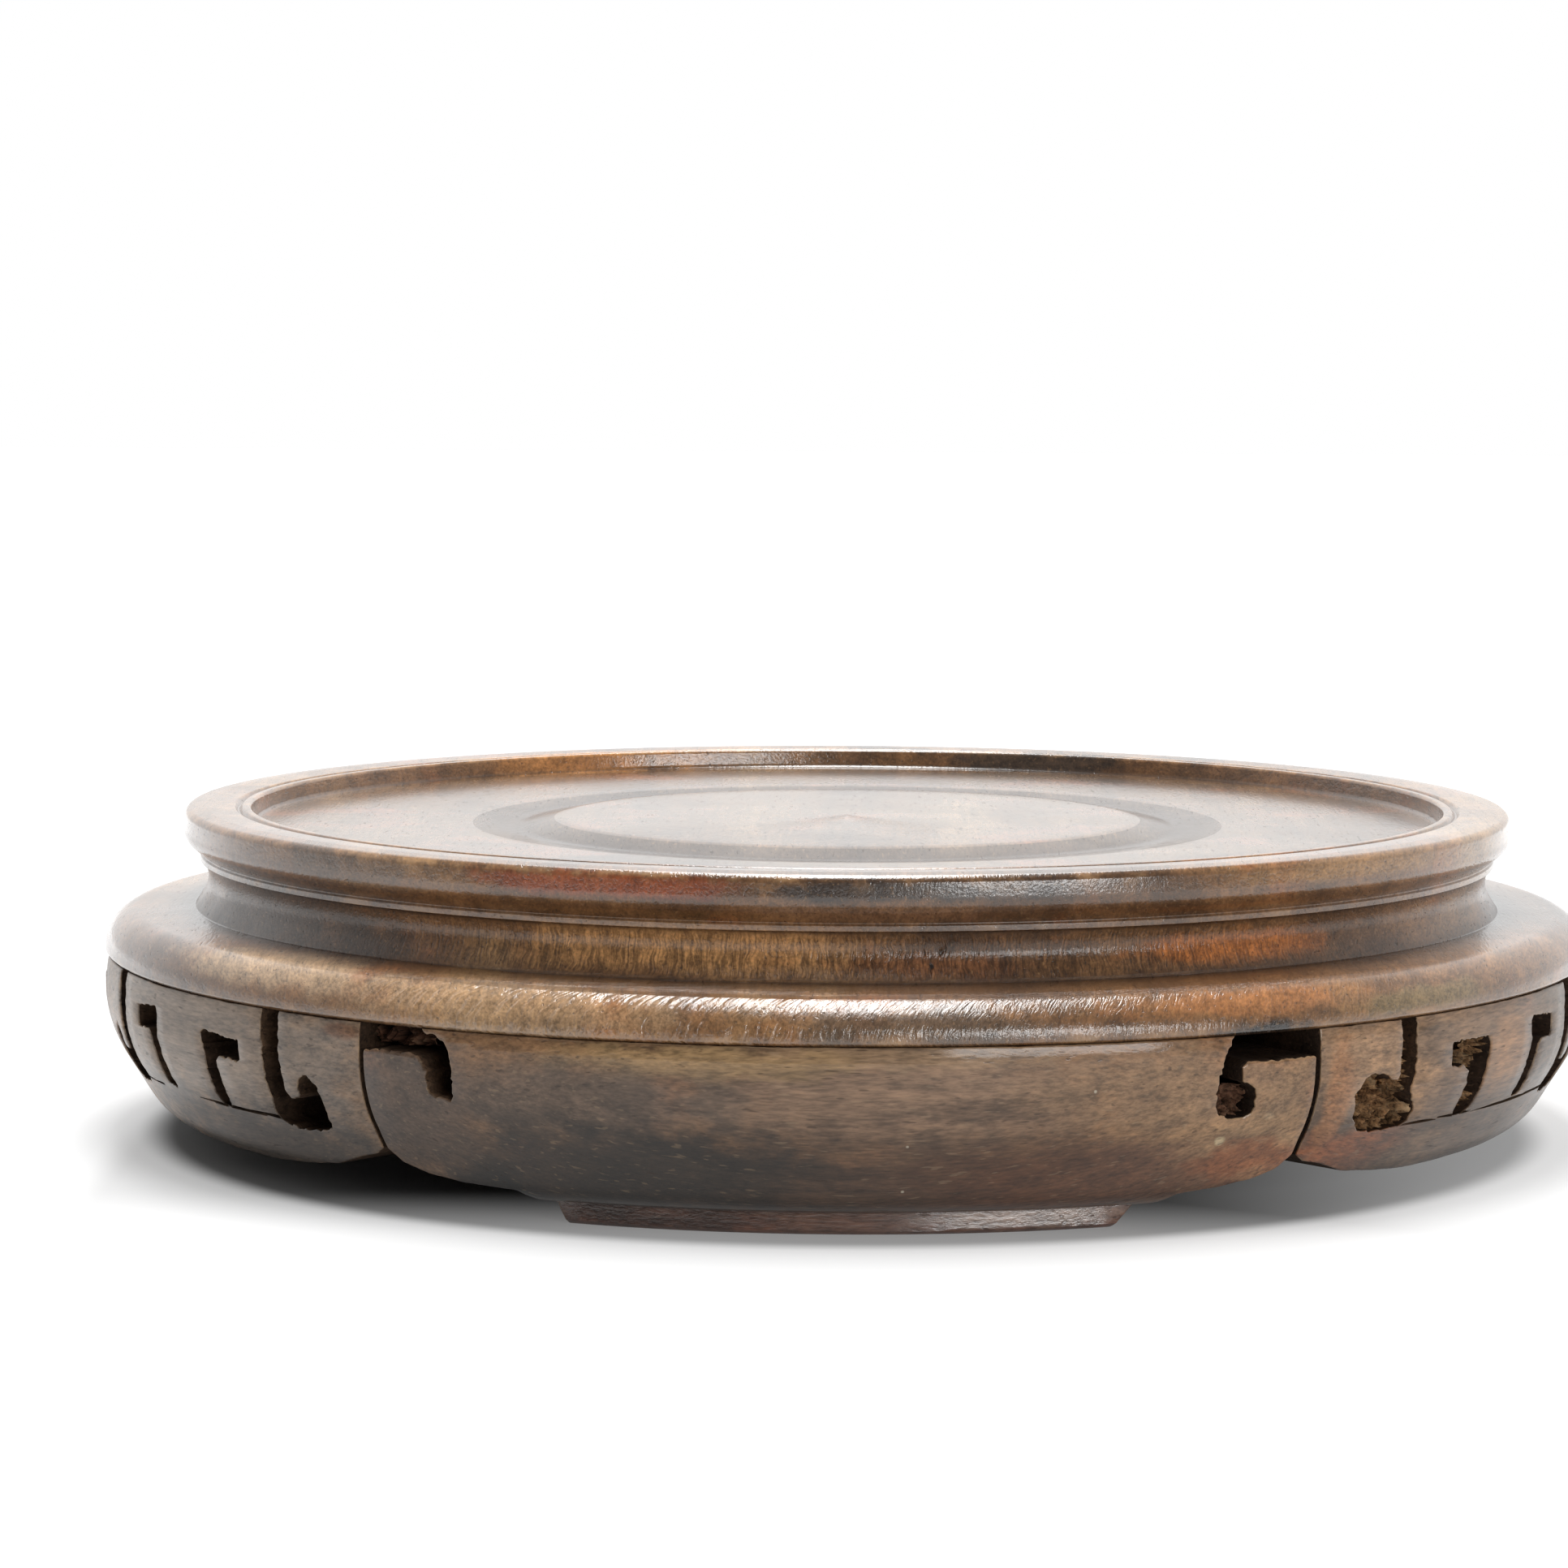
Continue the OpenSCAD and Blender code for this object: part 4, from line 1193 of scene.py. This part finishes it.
@dataclass
class Apron:
    """Bulging wall of foot segments and fret panels under the plate."""

    land: float = 3.2
    joint: float = 24.8
    stand_r: float = 100.0
    edge_round: float = 0.28
    edge_depth: float = 2.8
    bulge_c: Point = (84.0, 20.6)
    bulge_round: float = 16.0
    lean: float = 32.0
    under_c: Point = (87.84, 10.7)
    under_round: float = 7.5
    land_in: float = 76.24
    top_in: float = 88.0
    front_left_seam: float = -35.9
    front_right_seam: float = 34.8
    middle_seam: float = 79.25
    rear_seam: float = 158.0
    seam_gap: float = 0.22
    pad_left: float = -24.1
    pad_right: float = 24.4
    cusp: float = 8.9
    tears: tuple[float, ...] = (1.0, 0.6, 0.2)
    point_step: float = 0.40
    calm_cut: Point = (0.10, 0.04)
    torn_cut: Point = (0.26, 0.36)
    calm_cusp: float = 0.6
    calm_joint: float = 0.3
    calm_seam: float = 0.5
    least_side: float = 0.20
    sharpest: float = 80.0
    score: tuple[float, float, float] = (11.0, 11.6, 0.8)

    def face(self) -> WallFace:
        """Makes the wall's outer and inner faces.

        Returns:
            The faces.
        """
        def arc(centre: Point, radius: float, start: float, end: float, parts: int) -> list[Point]:
            """Gives the points of an arc between two directions."""
            turns = [math.radians(start + (end - start) * k / parts) for k in range(parts + 1)]
            return [(centre[0] + radius * math.cos(t), centre[1] + radius * math.sin(t)) for t in turns]

        outer = [
            *arc(self.under_c, self.under_round, -89.0, -self.lean, 12),
            *arc(self.bulge_c, self.bulge_round, -self.lean, 0.0, 12),
            *((self.stand_r - self.edge_round * t ** 2, self.joint - self.edge_depth * (1.0 - t))
              for t in (0.0, 0.3, 0.55, 0.8, 1.0)),
        ]
        return WallFace(outer, (self.land_in, self.land), (self.top_in, self.joint))

    def scroll(self, curled: bool) -> list[Corner]:
        """Gives a scroll's cut from its bar at the seam round to the joint, in degrees in from the seam.

        Args:
            curled: True for a scroll with a curled end.

        Returns:
            The corners of the cut.
        """
        if curled:
            return [
                Corner(6.1, 21.6, 1.0), Corner(6.8, 19.7, 0.6), Corner(5.2, 18.3, 0.9), Corner(5.2, 15.4, 1.3),
                Corner(6.7, 14.6, 1.0), Corner(8.4, 15.6, 1.3), Corner(8.4, 18.6, 2.0), Corner(7.75, 22.6, 1.5),
                Corner(7.0, 24.8),
            ]
        return [
            Corner(5.4, 21.9, 2.6), Corner(5.5, 19.0, 0.8), Corner(5.75, 16.8, 0.3), Corner(7.75, 16.0, 0.4),
            Corner(7.75, 19.0, 1.0), Corner(7.6, 22.7, 2.2), Corner(6.3, 24.2, 2.0),
            Corner(5.4, 24.3), Corner(5.2, 24.8),
        ]

    def foot(self, name: str, left: float, right: float, pad_middle: float, left_curl: bool, seed: float) -> Piece:
        """Builds a foot segment between two seams.

        Args:
            name: Name of the piece.
            left: Angle of its left seam.
            right: Angle of its right seam.
            pad_middle: Angle of the middle of its pad.
            left_curl: True for a curled left scroll, as the right one always is.
            seed: Number that sets the unevenness of its edges.

        Returns:
            The finished segment.
        """
        half = (right - left) / 2
        shift = (left + right) / 2 - pad_middle

        def side(sign: int, curled: bool) -> list[Corner]:
            """Gives one half of the outline, from the middle of the foot's underside up to the middle of the joint.

            Args:
                sign: 1 for the right half, -1 for the left.
                curled: True for a curled scroll.

            Returns:
                The corners, in degrees from the segment's middle and heights.
            """
            over_pad = half - abs(self.pad_right if sign > 0 else self.pad_left) + sign * shift
            inward = [
                Corner(over_pad, self.land, 0.4), Corner(over_pad - 1.3, 4.85, 0.9), Corner(6.0, 5.3, 3.0),
                Corner(3.3, 6.05, 3.0), Corner(1.2, 7.2, 1.0), Corner(self.seam_gap, self.cusp, 0.3),
                Corner(self.seam_gap, 21.6, 0.4), *self.scroll(curled),
            ]
            return [Corner(sign * (half - c.x), c.y, c.round) for c in inward]

        corners = [*side(1, True), *reversed(side(-1, left_curl))]
        return self._panel(name, (left + right) / 2, corners, [], seed)

    def fret(self, name: str, left: float, right: float, windows: list[list[Corner]],
             hooks: tuple[list[Corner], list[Corner]], seed: float) -> Piece:
        """Builds a fret panel between two seams.

        Args:
            name: Name of the piece.
            left: Angle of its left seam.
            right: Angle of its right seam.
            windows: Corners of its keys.
            hooks: Cuts of its left and right hooks, from the right end at the joint to the left.
            seed: Number that sets the unevenness of its edges.

        Returns:
            The finished panel.
        """
        half = (right - left) / 2
        lobe = [
            Corner(16.0, 4.1, 6.0), Corner(10.5, 4.75, 4.0), Corner(6.2, 5.6, 3.0), Corner(3.0, 7.2, 2.0),
            Corner(1.2, 7.9, 0.8), Corner(self.seam_gap, self.cusp, 0.3), Corner(self.seam_gap, self.joint),
        ]
        right_side = [Corner(half - c.x, c.y, c.round) for c in lobe]
        left_side = [Corner(c.x - half, c.y, c.round) for c in reversed(lobe)]
        corners = [*right_side, *hooks[1], *hooks[0], *left_side]
        return self._panel(name, (left + right) / 2, corners, windows, seed, score=self.score)

    def _panel(self, name: str, middle: float, corners: list[Corner], windows: list[list[Corner]], seed: float,
               score: Optional[tuple[float, float, float]] = None) -> Piece:
        """Rounds, roughens and wraps one panel's outlines.

        Args:
            name: Name of the piece.
            middle: Angle of its middle.
            corners: Corners of its outline, in degrees and heights.
            windows: Corners of its closed cuts.
            seed: Number that sets the unevenness of its edges.
            score: Height, reach in degrees and depth of a scored line.

        Returns:
            The finished panel.
        """
        per_degree = math.radians(1.0) * FACE_R

        def drawn(shape: list[Corner], tear: float, inset: float) -> list[Point]:
            """Gives one rounded, uneven outline in degrees and heights.

            Args:
                shape: Corners of the outline.
                tear: Share of the tears' full size.
                inset: Distance that its edge is set in by, less than zero for a closed cut.

            Returns:
                The points of the outline.
            """
            flat = [Corner(c.x * per_degree, c.y, c.round) for c in shape]
            even = resampled(rounded(flat, closed=True), self.point_step)
            calm = hand_cut(even, *self.calm_cut, seed)
            torn = hand_cut(even, *(size * tear for size in self.torn_cut), seed)
            seam = max(abs(x) for x, _ in even) - self.calm_seam
            low, high = self.cusp + self.calm_cusp, self.joint - self.calm_joint
            loose = [low < y < high and abs(x) < seam for x, y in even]
            points = [b if free else a for free, a, b in zip(loose, calm, torn)]
            points = unfolded(points, loose, self.least_side, self.sharpest)
            points = eased([(x, min(max(y, self.land), self.joint)) for x, y in points], inset)
            return [(x / per_degree, y) for x, y in points]

        for tear in self.tears:
            holes = [drawn(window, tear, -WrappedPanel.edge) for window in windows]
            outline = drawn(corners, tear, WrappedPanel.edge)
            piece = WrappedPanel(name, self.face(), middle, outline, holes, score=score).build()
            if is_closed(piece) or tear == self.tears[-1]:
                break
            LOG.warning("%s: open with tears of %.1f, cut again", name, tear)
            bpy.data.meshes.remove(piece.data)
        return piece

    @property
    def rear_foot(self) -> float:
        """Angle of the middle of the right rear foot."""
        return (self.middle_seam + self.rear_seam) / 2

    def fit(self) -> None:
        """Builds the six panels, dresses them and fixes them in place of their solids."""
        # Sawn walls and backs carry painted shade.
        sawn = WoodMaterial("sawn_shaded_wood", SAWN_SHADED_FINISH, 0.0, 70.0, wear=False).build()
        self._fit_feet(sawn)
        self._fit_frets(sawn)

    def _fit_feet(self, sawn: Material) -> None:
        """Builds and fits the foot segments.

        Args:
            sawn: Material of the sawn walls.
        """
        mid, rear, foot = self.middle_seam, self.rear_seam, self.rear_foot
        feet = {
            "foot_segment_front": (self.front_left_seam, self.front_right_seam, 0.0, False, FRONT_FOOT_PATCHES),
            "foot_segment_rear_right": (mid, rear, foot, True, ()),
            "foot_segment_rear_left": (-rear, -mid, -foot, True, ()),
        }
        for i, (node, (left, right, middle, left_curl, patches)) in enumerate(feet.items()):
            piece = self.foot("sawn_" + node, left, right, middle, left_curl, 10.0 + i)
            wood = WoodMaterial(node + "_wood", APRON_FINISH, middle, 20.0 + i, patches, specks=0.3)
            self._fit_panel(piece, node, Wood.APRON, wood.build(), sawn)

    def _fit_frets(self, sawn: Material) -> None:
        """Builds and fits the fret panels.

        Args:
            sawn: Material of the sawn walls.
        """
        mid, rear = self.middle_seam, self.rear_seam
        hooks = (FRONT_HOOK_LEFT, mirrored(FRONT_HOOK_LEFT))
        frets = {
            "fret_panel_right": (self.front_right_seam, mid, [FRONT_KEY_RIGHT, REAR_KEY],
                                 (FRONT_HOOK_RIGHT, hooks[1]), RIGHT_FRET_PATCHES),
            "fret_panel_rear": (rear, 360.0 - rear, [FRONT_KEY_LEFT, mirrored(FRONT_KEY_LEFT)], hooks, ()),
            "fret_panel_left": (-mid, self.front_left_seam, [mirrored(FRONT_KEY_LEFT), mirrored(REAR_KEY)],
                                hooks, LEFT_FRET_PATCHES),
        }
        for i, (node, (left, right, windows, ends, patches)) in enumerate(frets.items()):
            piece = self.fret("sawn_" + node, left, right, windows, ends, 30.0 + i)
            wood = WoodMaterial(node + "_wood", FRET_FINISH, (left + right) / 2, 40.0 + i, patches, specks=0.15)
            self._fit_panel(piece, node, Wood.FRET, wood.build(), sawn)

    def _fit_panel(self, piece: Piece, node: str, wood: Wood, *materials: Material) -> None:
        """Dresses a panel, adds the torn wood in its cuts and fixes it in place of its solid.

        Args:
            piece: Finished panel.
            node: Name of its solid.
            wood: Its wood.
            materials: Materials of its face and of its sawn walls.
        """
        dress(piece, *materials)
        if node in TORN_CUTS:
            sheets, torn_wood = TORN_CUTS[node]
            torn = torn_wood.build()
            parts = [sheet.build(self.face()) for sheet in sheets]
            for part in parts:
                dress(part, torn)
            join_to(piece, parts)
        mount(piece, wood, node)


@dataclass
class TornWood:
    """Rough wood left standing inside a cut, below the face."""

    name: str
    left: float
    right: float
    low: float
    high: float
    depth: float
    rough: float
    seed: float
    cell: float = 0.28

    def build(self, face: WallFace) -> Piece:
        """Builds the torn wood on a wall.

        Args:
            face: Wall in which the cut is.

        Returns:
            The finished mesh object.
        """
        across = math.radians(self.right - self.left) * FACE_R
        columns, rows = (max(3, round(size / self.cell)) for size in (across, self.high - self.low))
        deselect_all()
        bpy.ops.mesh.primitive_grid_add(x_subdivisions=columns, y_subdivisions=rows, size=2.0)
        piece = bpy.context.object
        piece.name = self.name
        ridges = piece.data.attributes.new("wear", "FLOAT", "POINT")
        gaps = piece.data.attributes.new("grime_and_shade", "FLOAT", "POINT")
        for vertex in piece.data.vertices:
            turn = math.radians(self.left + (self.right - self.left) * (vertex.co.x + 1.0) / 2.0)
            v = face.length_at(self.low + (self.high - self.low) * (vertex.co.y + 1.0) / 2.0)
            r, z = face.point(v)
            spot = Vector((math.degrees(turn) * 1.7, z, self.seed))
            lumps = noise.fractal(spot * 0.55, 0.8, 2.0, 3) + 0.7 * noise.fractal(spot * 1.9, 0.7, 2.0, 3)
            r -= max(0.5, self.depth + self.rough * lumps)
            # Ridges of the lumps go paler; their gaps take painted shade.
            ridges.data[vertex.index].value = min(1.0, max(0.0, -2.2 * lumps))
            gaps.data[vertex.index].value = min(1.0, max(0.0, 2.2 * lumps))
            vertex.co = Vector((r * math.sin(turn), -r * math.cos(turn), z)) * MM
        smooth(piece, 60.0)
        return piece


def join_to(piece: Piece, parts: Sequence[Piece]) -> None:
    """Joins parts to a piece.

    Args:
        piece: Piece that stays.
        parts: Parts that join it.
    """
    make_active(piece)
    for part in parts:
        part.select_set(True)
    bpy.ops.object.join()


TORN_RIGHT = (
    TornWood("torn_hook", 38.2, 46.4, 10.4, 18.4, 2.3, 3.0, 3.0),
    TornWood("torn_bar", 42.4, 45.4, 16.5, 24.7, 3.0, 1.6, 8.0),
    TornWood("torn_key", 50.2, 54.4, 10.6, 21.2, 3.0, 3.2, 12.0),
)
TORN_FRONT = (
    TornWood("torn_left_scroll", -37.6, -30.4, 22.3, 24.75, 3.4, 1.8, 21.0),
    TornWood("torn_right_scroll", 25.6, 30.2, 14.2, 18.6, 3.6, 2.0, 27.0),
)
TORN_CUTS = {
    "fret_panel_right": (TORN_RIGHT, WoodMaterial("torn_wood", TORN_FINISH, 40.0, 75.0)),
    "foot_segment_front": (TORN_FRONT, WoodMaterial("shaded_torn_wood", SHADED_TORN_FINISH, 40.0, 78.0)),
}

FRONT_HOOK_LEFT = [
    Corner(-11.35, 24.8), Corner(-11.5, 13.0, 0.6), Corner(-11.15, 11.2, 0.5), Corner(-12.0, 10.1, 0.6),
    Corner(-15.2, 9.9, 0.5), Corner(-17.1, 10.6, 0.6), Corner(-17.3, 13.6, 0.8), Corner(-17.0, 16.4, 0.9),
    Corner(-15.9, 17.4, 0.9), Corner(-14.8, 16.4, 0.8), Corner(-15.1, 14.4, 0.4), Corner(-13.7, 13.9, 0.5),
    Corner(-13.4, 15.0, 0.6), Corner(-13.35, 24.8),
]
FRONT_HOOK_RIGHT = [
    Corner(-12.4, 24.8), Corner(-12.5, 15.6, 0.5), Corner(-11.4, 13.2, 0.8), Corner(-11.5, 11.2, 0.8),
    Corner(-14.0, 10.9, 0.8), Corner(-16.7, 11.1, 1.0), Corner(-17.9, 13.0, 1.2), Corner(-18.4, 16.2, 1.2),
    Corner(-17.2, 18.5, 1.2), Corner(-15.2, 18.3, 1.0), Corner(-14.6, 16.8, 0.5), Corner(-14.1, 16.7, 0.4),
    Corner(-14.0, 24.8),
]
FRONT_KEY_LEFT = [
    Corner(-3.35, 20.9, 0.3), Corner(-8.65, 20.4, 0.3), Corner(-8.7, 17.7, 0.4), Corner(-5.6, 17.9, 0.4),
    Corner(-5.3, 11.2, 0.3), Corner(-3.6, 11.2, 0.3), Corner(-3.9, 17.6, 0.5),
]
REAR_KEY = [
    Corner(3.5, 22.0, 0.3), Corner(3.8, 18.6, 0.5), Corner(3.55, 11.6, 0.3), Corner(5.3, 11.6, 0.3),
    Corner(5.3, 18.8, 0.4), Corner(7.95, 18.7, 0.4), Corner(7.9, 21.5, 0.3),
]
FRONT_KEY_RIGHT = [
    Corner(-3.2, 21.0, 0.4), Corner(-8.3, 20.9, 0.4), Corner(-8.2, 17.9, 0.4), Corner(-5.8, 17.6, 0.4),
    Corner(-5.6, 11.0, 0.5), Corner(-3.5, 10.8, 0.5), Corner(-3.1, 16.0, 0.6),
]


def mirrored(corners: list[Corner]) -> list[Corner]:
    """Flips a cut left to right and keeps its direction."""
    return [Corner(-c.x, c.y, c.round) for c in reversed(corners)]


def pad_face(outer_r: float, inner_r: float, height: float, bevel: float, flare: float) -> WallFace:
    """Makes the faces of a pad's wall.

    Args:
        outer_r: Radius of the outer face.
        inner_r: Radius of the inner face.
        height: Height of the pad.
        bevel: Bevel of its lower edge.
        flare: How far the face leans back at its top.

    Returns:
        The faces.
    """
    outer = [(outer_r - bevel, 0.0), (outer_r, bevel), (outer_r - flare, height)]
    return WallFace(outer, (inner_r, 0.0), (inner_r, height))


@dataclass
class FootPad:
    """Thin pad under a foot with sloping ends."""

    node: str
    middle: float
    outer_r: float = 86.0
    inner_r: float = 77.0
    height: float = 3.2
    bevel: float = 0.45
    flare: float = 0.35
    left_top: float = -24.2
    left_foot: float = -23.0
    right_foot: float = 22.2
    right_top: float = 24.5
    skew: float = 4.5

    def build(self) -> Piece:
        """Builds the pad.

        Returns:
            The finished pad.
        """
        corners = [
            Corner(self.right_top, self.height), Corner(self.right_top - 1.1, 1.6, 1.0),
            Corner(self.right_foot, 0.0, 1.2), Corner(self.left_foot, 0.0, 0.4),
            Corner(self.left_top + 0.5, 1.6, 0.6), Corner(self.left_top, self.height),
        ]
        face = pad_face(self.outer_r, self.inner_r, self.height, self.bevel, self.flare)
        per_degree = math.radians(1.0) * FACE_R
        points = rounded([Corner(c.x * per_degree, c.y, c.round) for c in corners], closed=True)
        outline = [(x / per_degree, min(max(z, 0.0), self.height)) for x, z in resampled(points, 0.8)]
        panel = WrappedPanel("planed_" + self.node, face, self.middle, outline, edge=0.18, thickness=9.0,
                             rise_step=0.7, skew=self.skew)
        return panel.build()

    def fit(self, seed: float, patches: Sequence[Patch]) -> None:
        """Builds the pad, dresses it and fixes it in place of its solid.

        Args:
            seed: Number that sets the pattern of its wood.
            patches: Stains on it.
        """
        piece = self.build()
        wood = WoodMaterial(self.node + "_wood", PAD_FINISH, self.middle, seed, patches).build()
        dress(piece, wood, wood)
        mount(piece, Wood.PAD, self.node)


@dataclass
class Studio:
    """Pale floor, white surroundings, soft light and the camera."""

    distance: float = 0.700
    height: float = 0.1127
    pitch: float = 5.41
    roll: float = 0.33
    focal_px: float = 6371.8
    centre_px: float = 1044.1
    sensor: float = 36.0
    near_clip: float = 0.01
    front_level: float = 0.14
    back_level: float = 1.0
    upper_level: float = 0.15
    behind: Point = (-0.6, 0.75)
    above: Point = (0.58, 0.80)
    box_size: Point = (0.32, 0.95)
    box_place: Place = (-0.01, 0.095, 1.0)
    box_power: float = 13.6
    front_size: Point = (0.30, 0.34)
    front_place: Place = (-0.01, -0.55, 1.0)
    front_power: float = 0.6
    back_size: Point = (0.60, 0.80)
    back_place: Place = (-0.01, 0.98, 1.0)
    back_power: float = 4.6
    panel_size: Point = (0.66, 0.20)
    panel_turn: float = 30.0
    panel_rise: float = 10.5
    panel_reach: float = 1.2
    panel_power: float = 3.5
    aim_height: float = 0.02
    floor_size: float = 6.0
    floor_albedo: float = 0.36
    floor_rough: float = 0.9
    floor_specular: float = 0.2
    # Strengths of the painted glow that brightens the floor's shadow near the stand.
    near_shadow_glow: float = 0.24
    ring_shadow_glow: float = 0.38
    left_shadow_glow: float = 0.17
    lift_front: Point = (-0.055, -0.090)
    lift_right: Point = (0.030, 0.085)
    lift_left: Point = (-0.0925, -0.0985)
    lift_ring: Point = (0.0905, 0.0965)
    lift_far: Point = (0.25, 0.90)

    def build(self) -> None:
        """Builds the studio."""
        self._floor()
        self._world()
        self._lights()
        self._camera()
        bpy.context.scene.view_settings.view_transform = "Standard"

    def _floor(self) -> None:
        """Lays the pale floor, whose far part runs into the white background; for camera and reflected rays it also
        glows near the stand, a painted light that brightens its shadow in front, at the sides and round its edge.
        """
        deselect_all()
        bpy.ops.mesh.primitive_plane_add(size=self.floor_size)
        floor = bpy.context.object
        floor.name = "floor"
        board = NodeBoard(bpy.data.materials.new("floor_paper"))
        for key, value in (("Base Color", (self.floor_albedo,) * 3), ("Roughness", self.floor_rough),
                           ("Specular IOR Level", self.floor_specular), ("Emission Color", WHITE)):
            board.feed(board.surface.inputs[key], value)
        place = board.add("TexCoord").outputs["Object"]
        length = board.add("VectorMath", operation="LENGTH")
        board.feed(length.inputs[0], place)
        out = length.outputs["Value"]
        parts = board.add("SeparateXYZ")
        board.feed(parts.inputs[0], place)
        x, y, _ = parts.outputs
        # The floor glows near the stand: painted light that brightens its shadow in front, at the right, at the left
        # and round its edge.
        near = board.math("MAXIMUM", board.spread(y, *self.lift_front, 0.0, self.near_shadow_glow),
                          board.spread(x, *self.lift_right, 0.0, self.near_shadow_glow))
        near = board.plus(near, board.spread(x, *self.lift_left, 0.0, self.left_shadow_glow))
        rings = board.plus(board.spread(out, *self.lift_ring, 0.0, self.ring_shadow_glow),
                           board.spread(out, *self.lift_far))
        shadow_glow = board.plus(near, rings, clamp=True)
        path = board.add("LightPath").outputs
        thrown_back = board.plus(path["Is Glossy Ray"], path["Is Transmission Ray"])
        seen = board.plus(path["Is Camera Ray"], thrown_back, clamp=True)
        board.feed(board.surface.inputs["Emission Strength"], board.times(seen, shadow_glow))
        floor.data.materials.append(board.owner)

    def _world(self) -> None:
        """Sets the surroundings: white low down behind the stand, dimmer towards the camera and above."""
        world = bpy.data.worlds.new("studio")
        bpy.context.scene.world = world
        board = NodeBoard(world)
        parts = board.add("SeparateXYZ")
        board.feed(parts.inputs[0], board.add("TexCoord").outputs["Generated"])
        lower = board.spread(parts.outputs["Y"], *self.behind, self.front_level, self.back_level)
        strength = board.spread(parts.outputs["Z"], *self.above, lower, self.upper_level)
        seen = board.math("MAXIMUM", strength, board.add("LightPath").outputs["Is Camera Ray"])
        background = board.tree.nodes["Background"]
        board.feed(background.inputs["Color"], WHITE)
        board.feed(background.inputs["Strength"], seen)

    def _lights(self) -> None:
        """Hangs three soft boxes over the stand and stands a panel at its front right."""
        turn, rise = math.radians(self.panel_turn), math.radians(self.panel_rise)
        level = math.cos(rise)
        at_panel = Vector((math.sin(turn) * level, -math.cos(turn) * level, math.sin(rise))) * self.panel_reach
        down = Vector((0.0, 0.0, -1.0))
        to_stand = Vector((0.0, 0.0, self.aim_height)) - at_panel
        for name, size, place, power, aim in (
            ("soft_box", self.box_size, Vector(self.box_place), self.box_power, down),
            ("soft_box_front", self.front_size, Vector(self.front_place), self.front_power, down),
            ("soft_box_back", self.back_size, Vector(self.back_place), self.back_power, down),
            ("front_panel", self.panel_size, at_panel, self.panel_power, to_stand),
        ):
            data = bpy.data.lights.new(name, "AREA")
            data.shape = "RECTANGLE"
            data.size, data.size_y = size
            data.energy = power
            lamp = bpy.data.objects.new(name, data)
            bpy.context.scene.collection.objects.link(lamp)
            lamp.rotation_euler = aim.to_track_quat("-Z", "Y").to_euler()
            lamp.location = place
            lamp.visible_camera = False

    def _camera(self) -> None:
        """Sets the camera at the photograph's place."""
        data = bpy.data.cameras.new("camera")
        data.sensor_width = self.sensor
        data.lens = self.focal_px / PHOTO_WIDTH * data.sensor_width
        data.shift_x = -(self.centre_px - PHOTO_WIDTH / 2) / PHOTO_WIDTH
        data.clip_start = self.near_clip
        camera = bpy.data.objects.new("camera", data)
        bpy.context.scene.collection.objects.link(camera)
        tilt = Matrix.Rotation(math.radians(90.0 - self.pitch), 4, "X")
        turn = tilt @ Matrix.Rotation(math.radians(self.roll), 4, "Z")
        camera.matrix_world = Matrix.Translation((0.0, -self.distance, self.height)) @ turn
        bpy.context.scene.camera = camera


def dress_joinery(nodes: dict[str, Piece]) -> None:
    """Gives the hidden joinery, which keeps its solids, a pale raw wood.

    Args:
        nodes: Nodes of the frame by name.
    """
    straw = WoodMaterial("joinery_wood", JOINERY_FINISH, 0.0, 60.0, wear=False).build()
    for name, node in nodes.items():
        if name.startswith(JOINERY_NAMES):
            dress(node, straw)
            LOG.info("%s: kept", name)


def main() -> None:
    """Builds the stand and its studio."""
    logging.basicConfig(level=logging.INFO, format="%(name)s: %(message)s")
    noise.seed_set(NOISE_SEED)
    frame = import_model()
    deselect_all()
    Studio().build()
    TopPlate().fit()
    apron = Apron()
    apron.fit()
    pads = {"foot_pad_front": 0.0, "foot_pad_rear_right": apron.rear_foot, "foot_pad_rear_left": -apron.rear_foot}
    for i, (node, middle) in enumerate(pads.items()):
        FootPad(node, middle).fit(50.0 + i, () if i else PAD_PATCHES)
    dress_joinery(frame["nodes"])


if __name__ == "__main__":
    main()
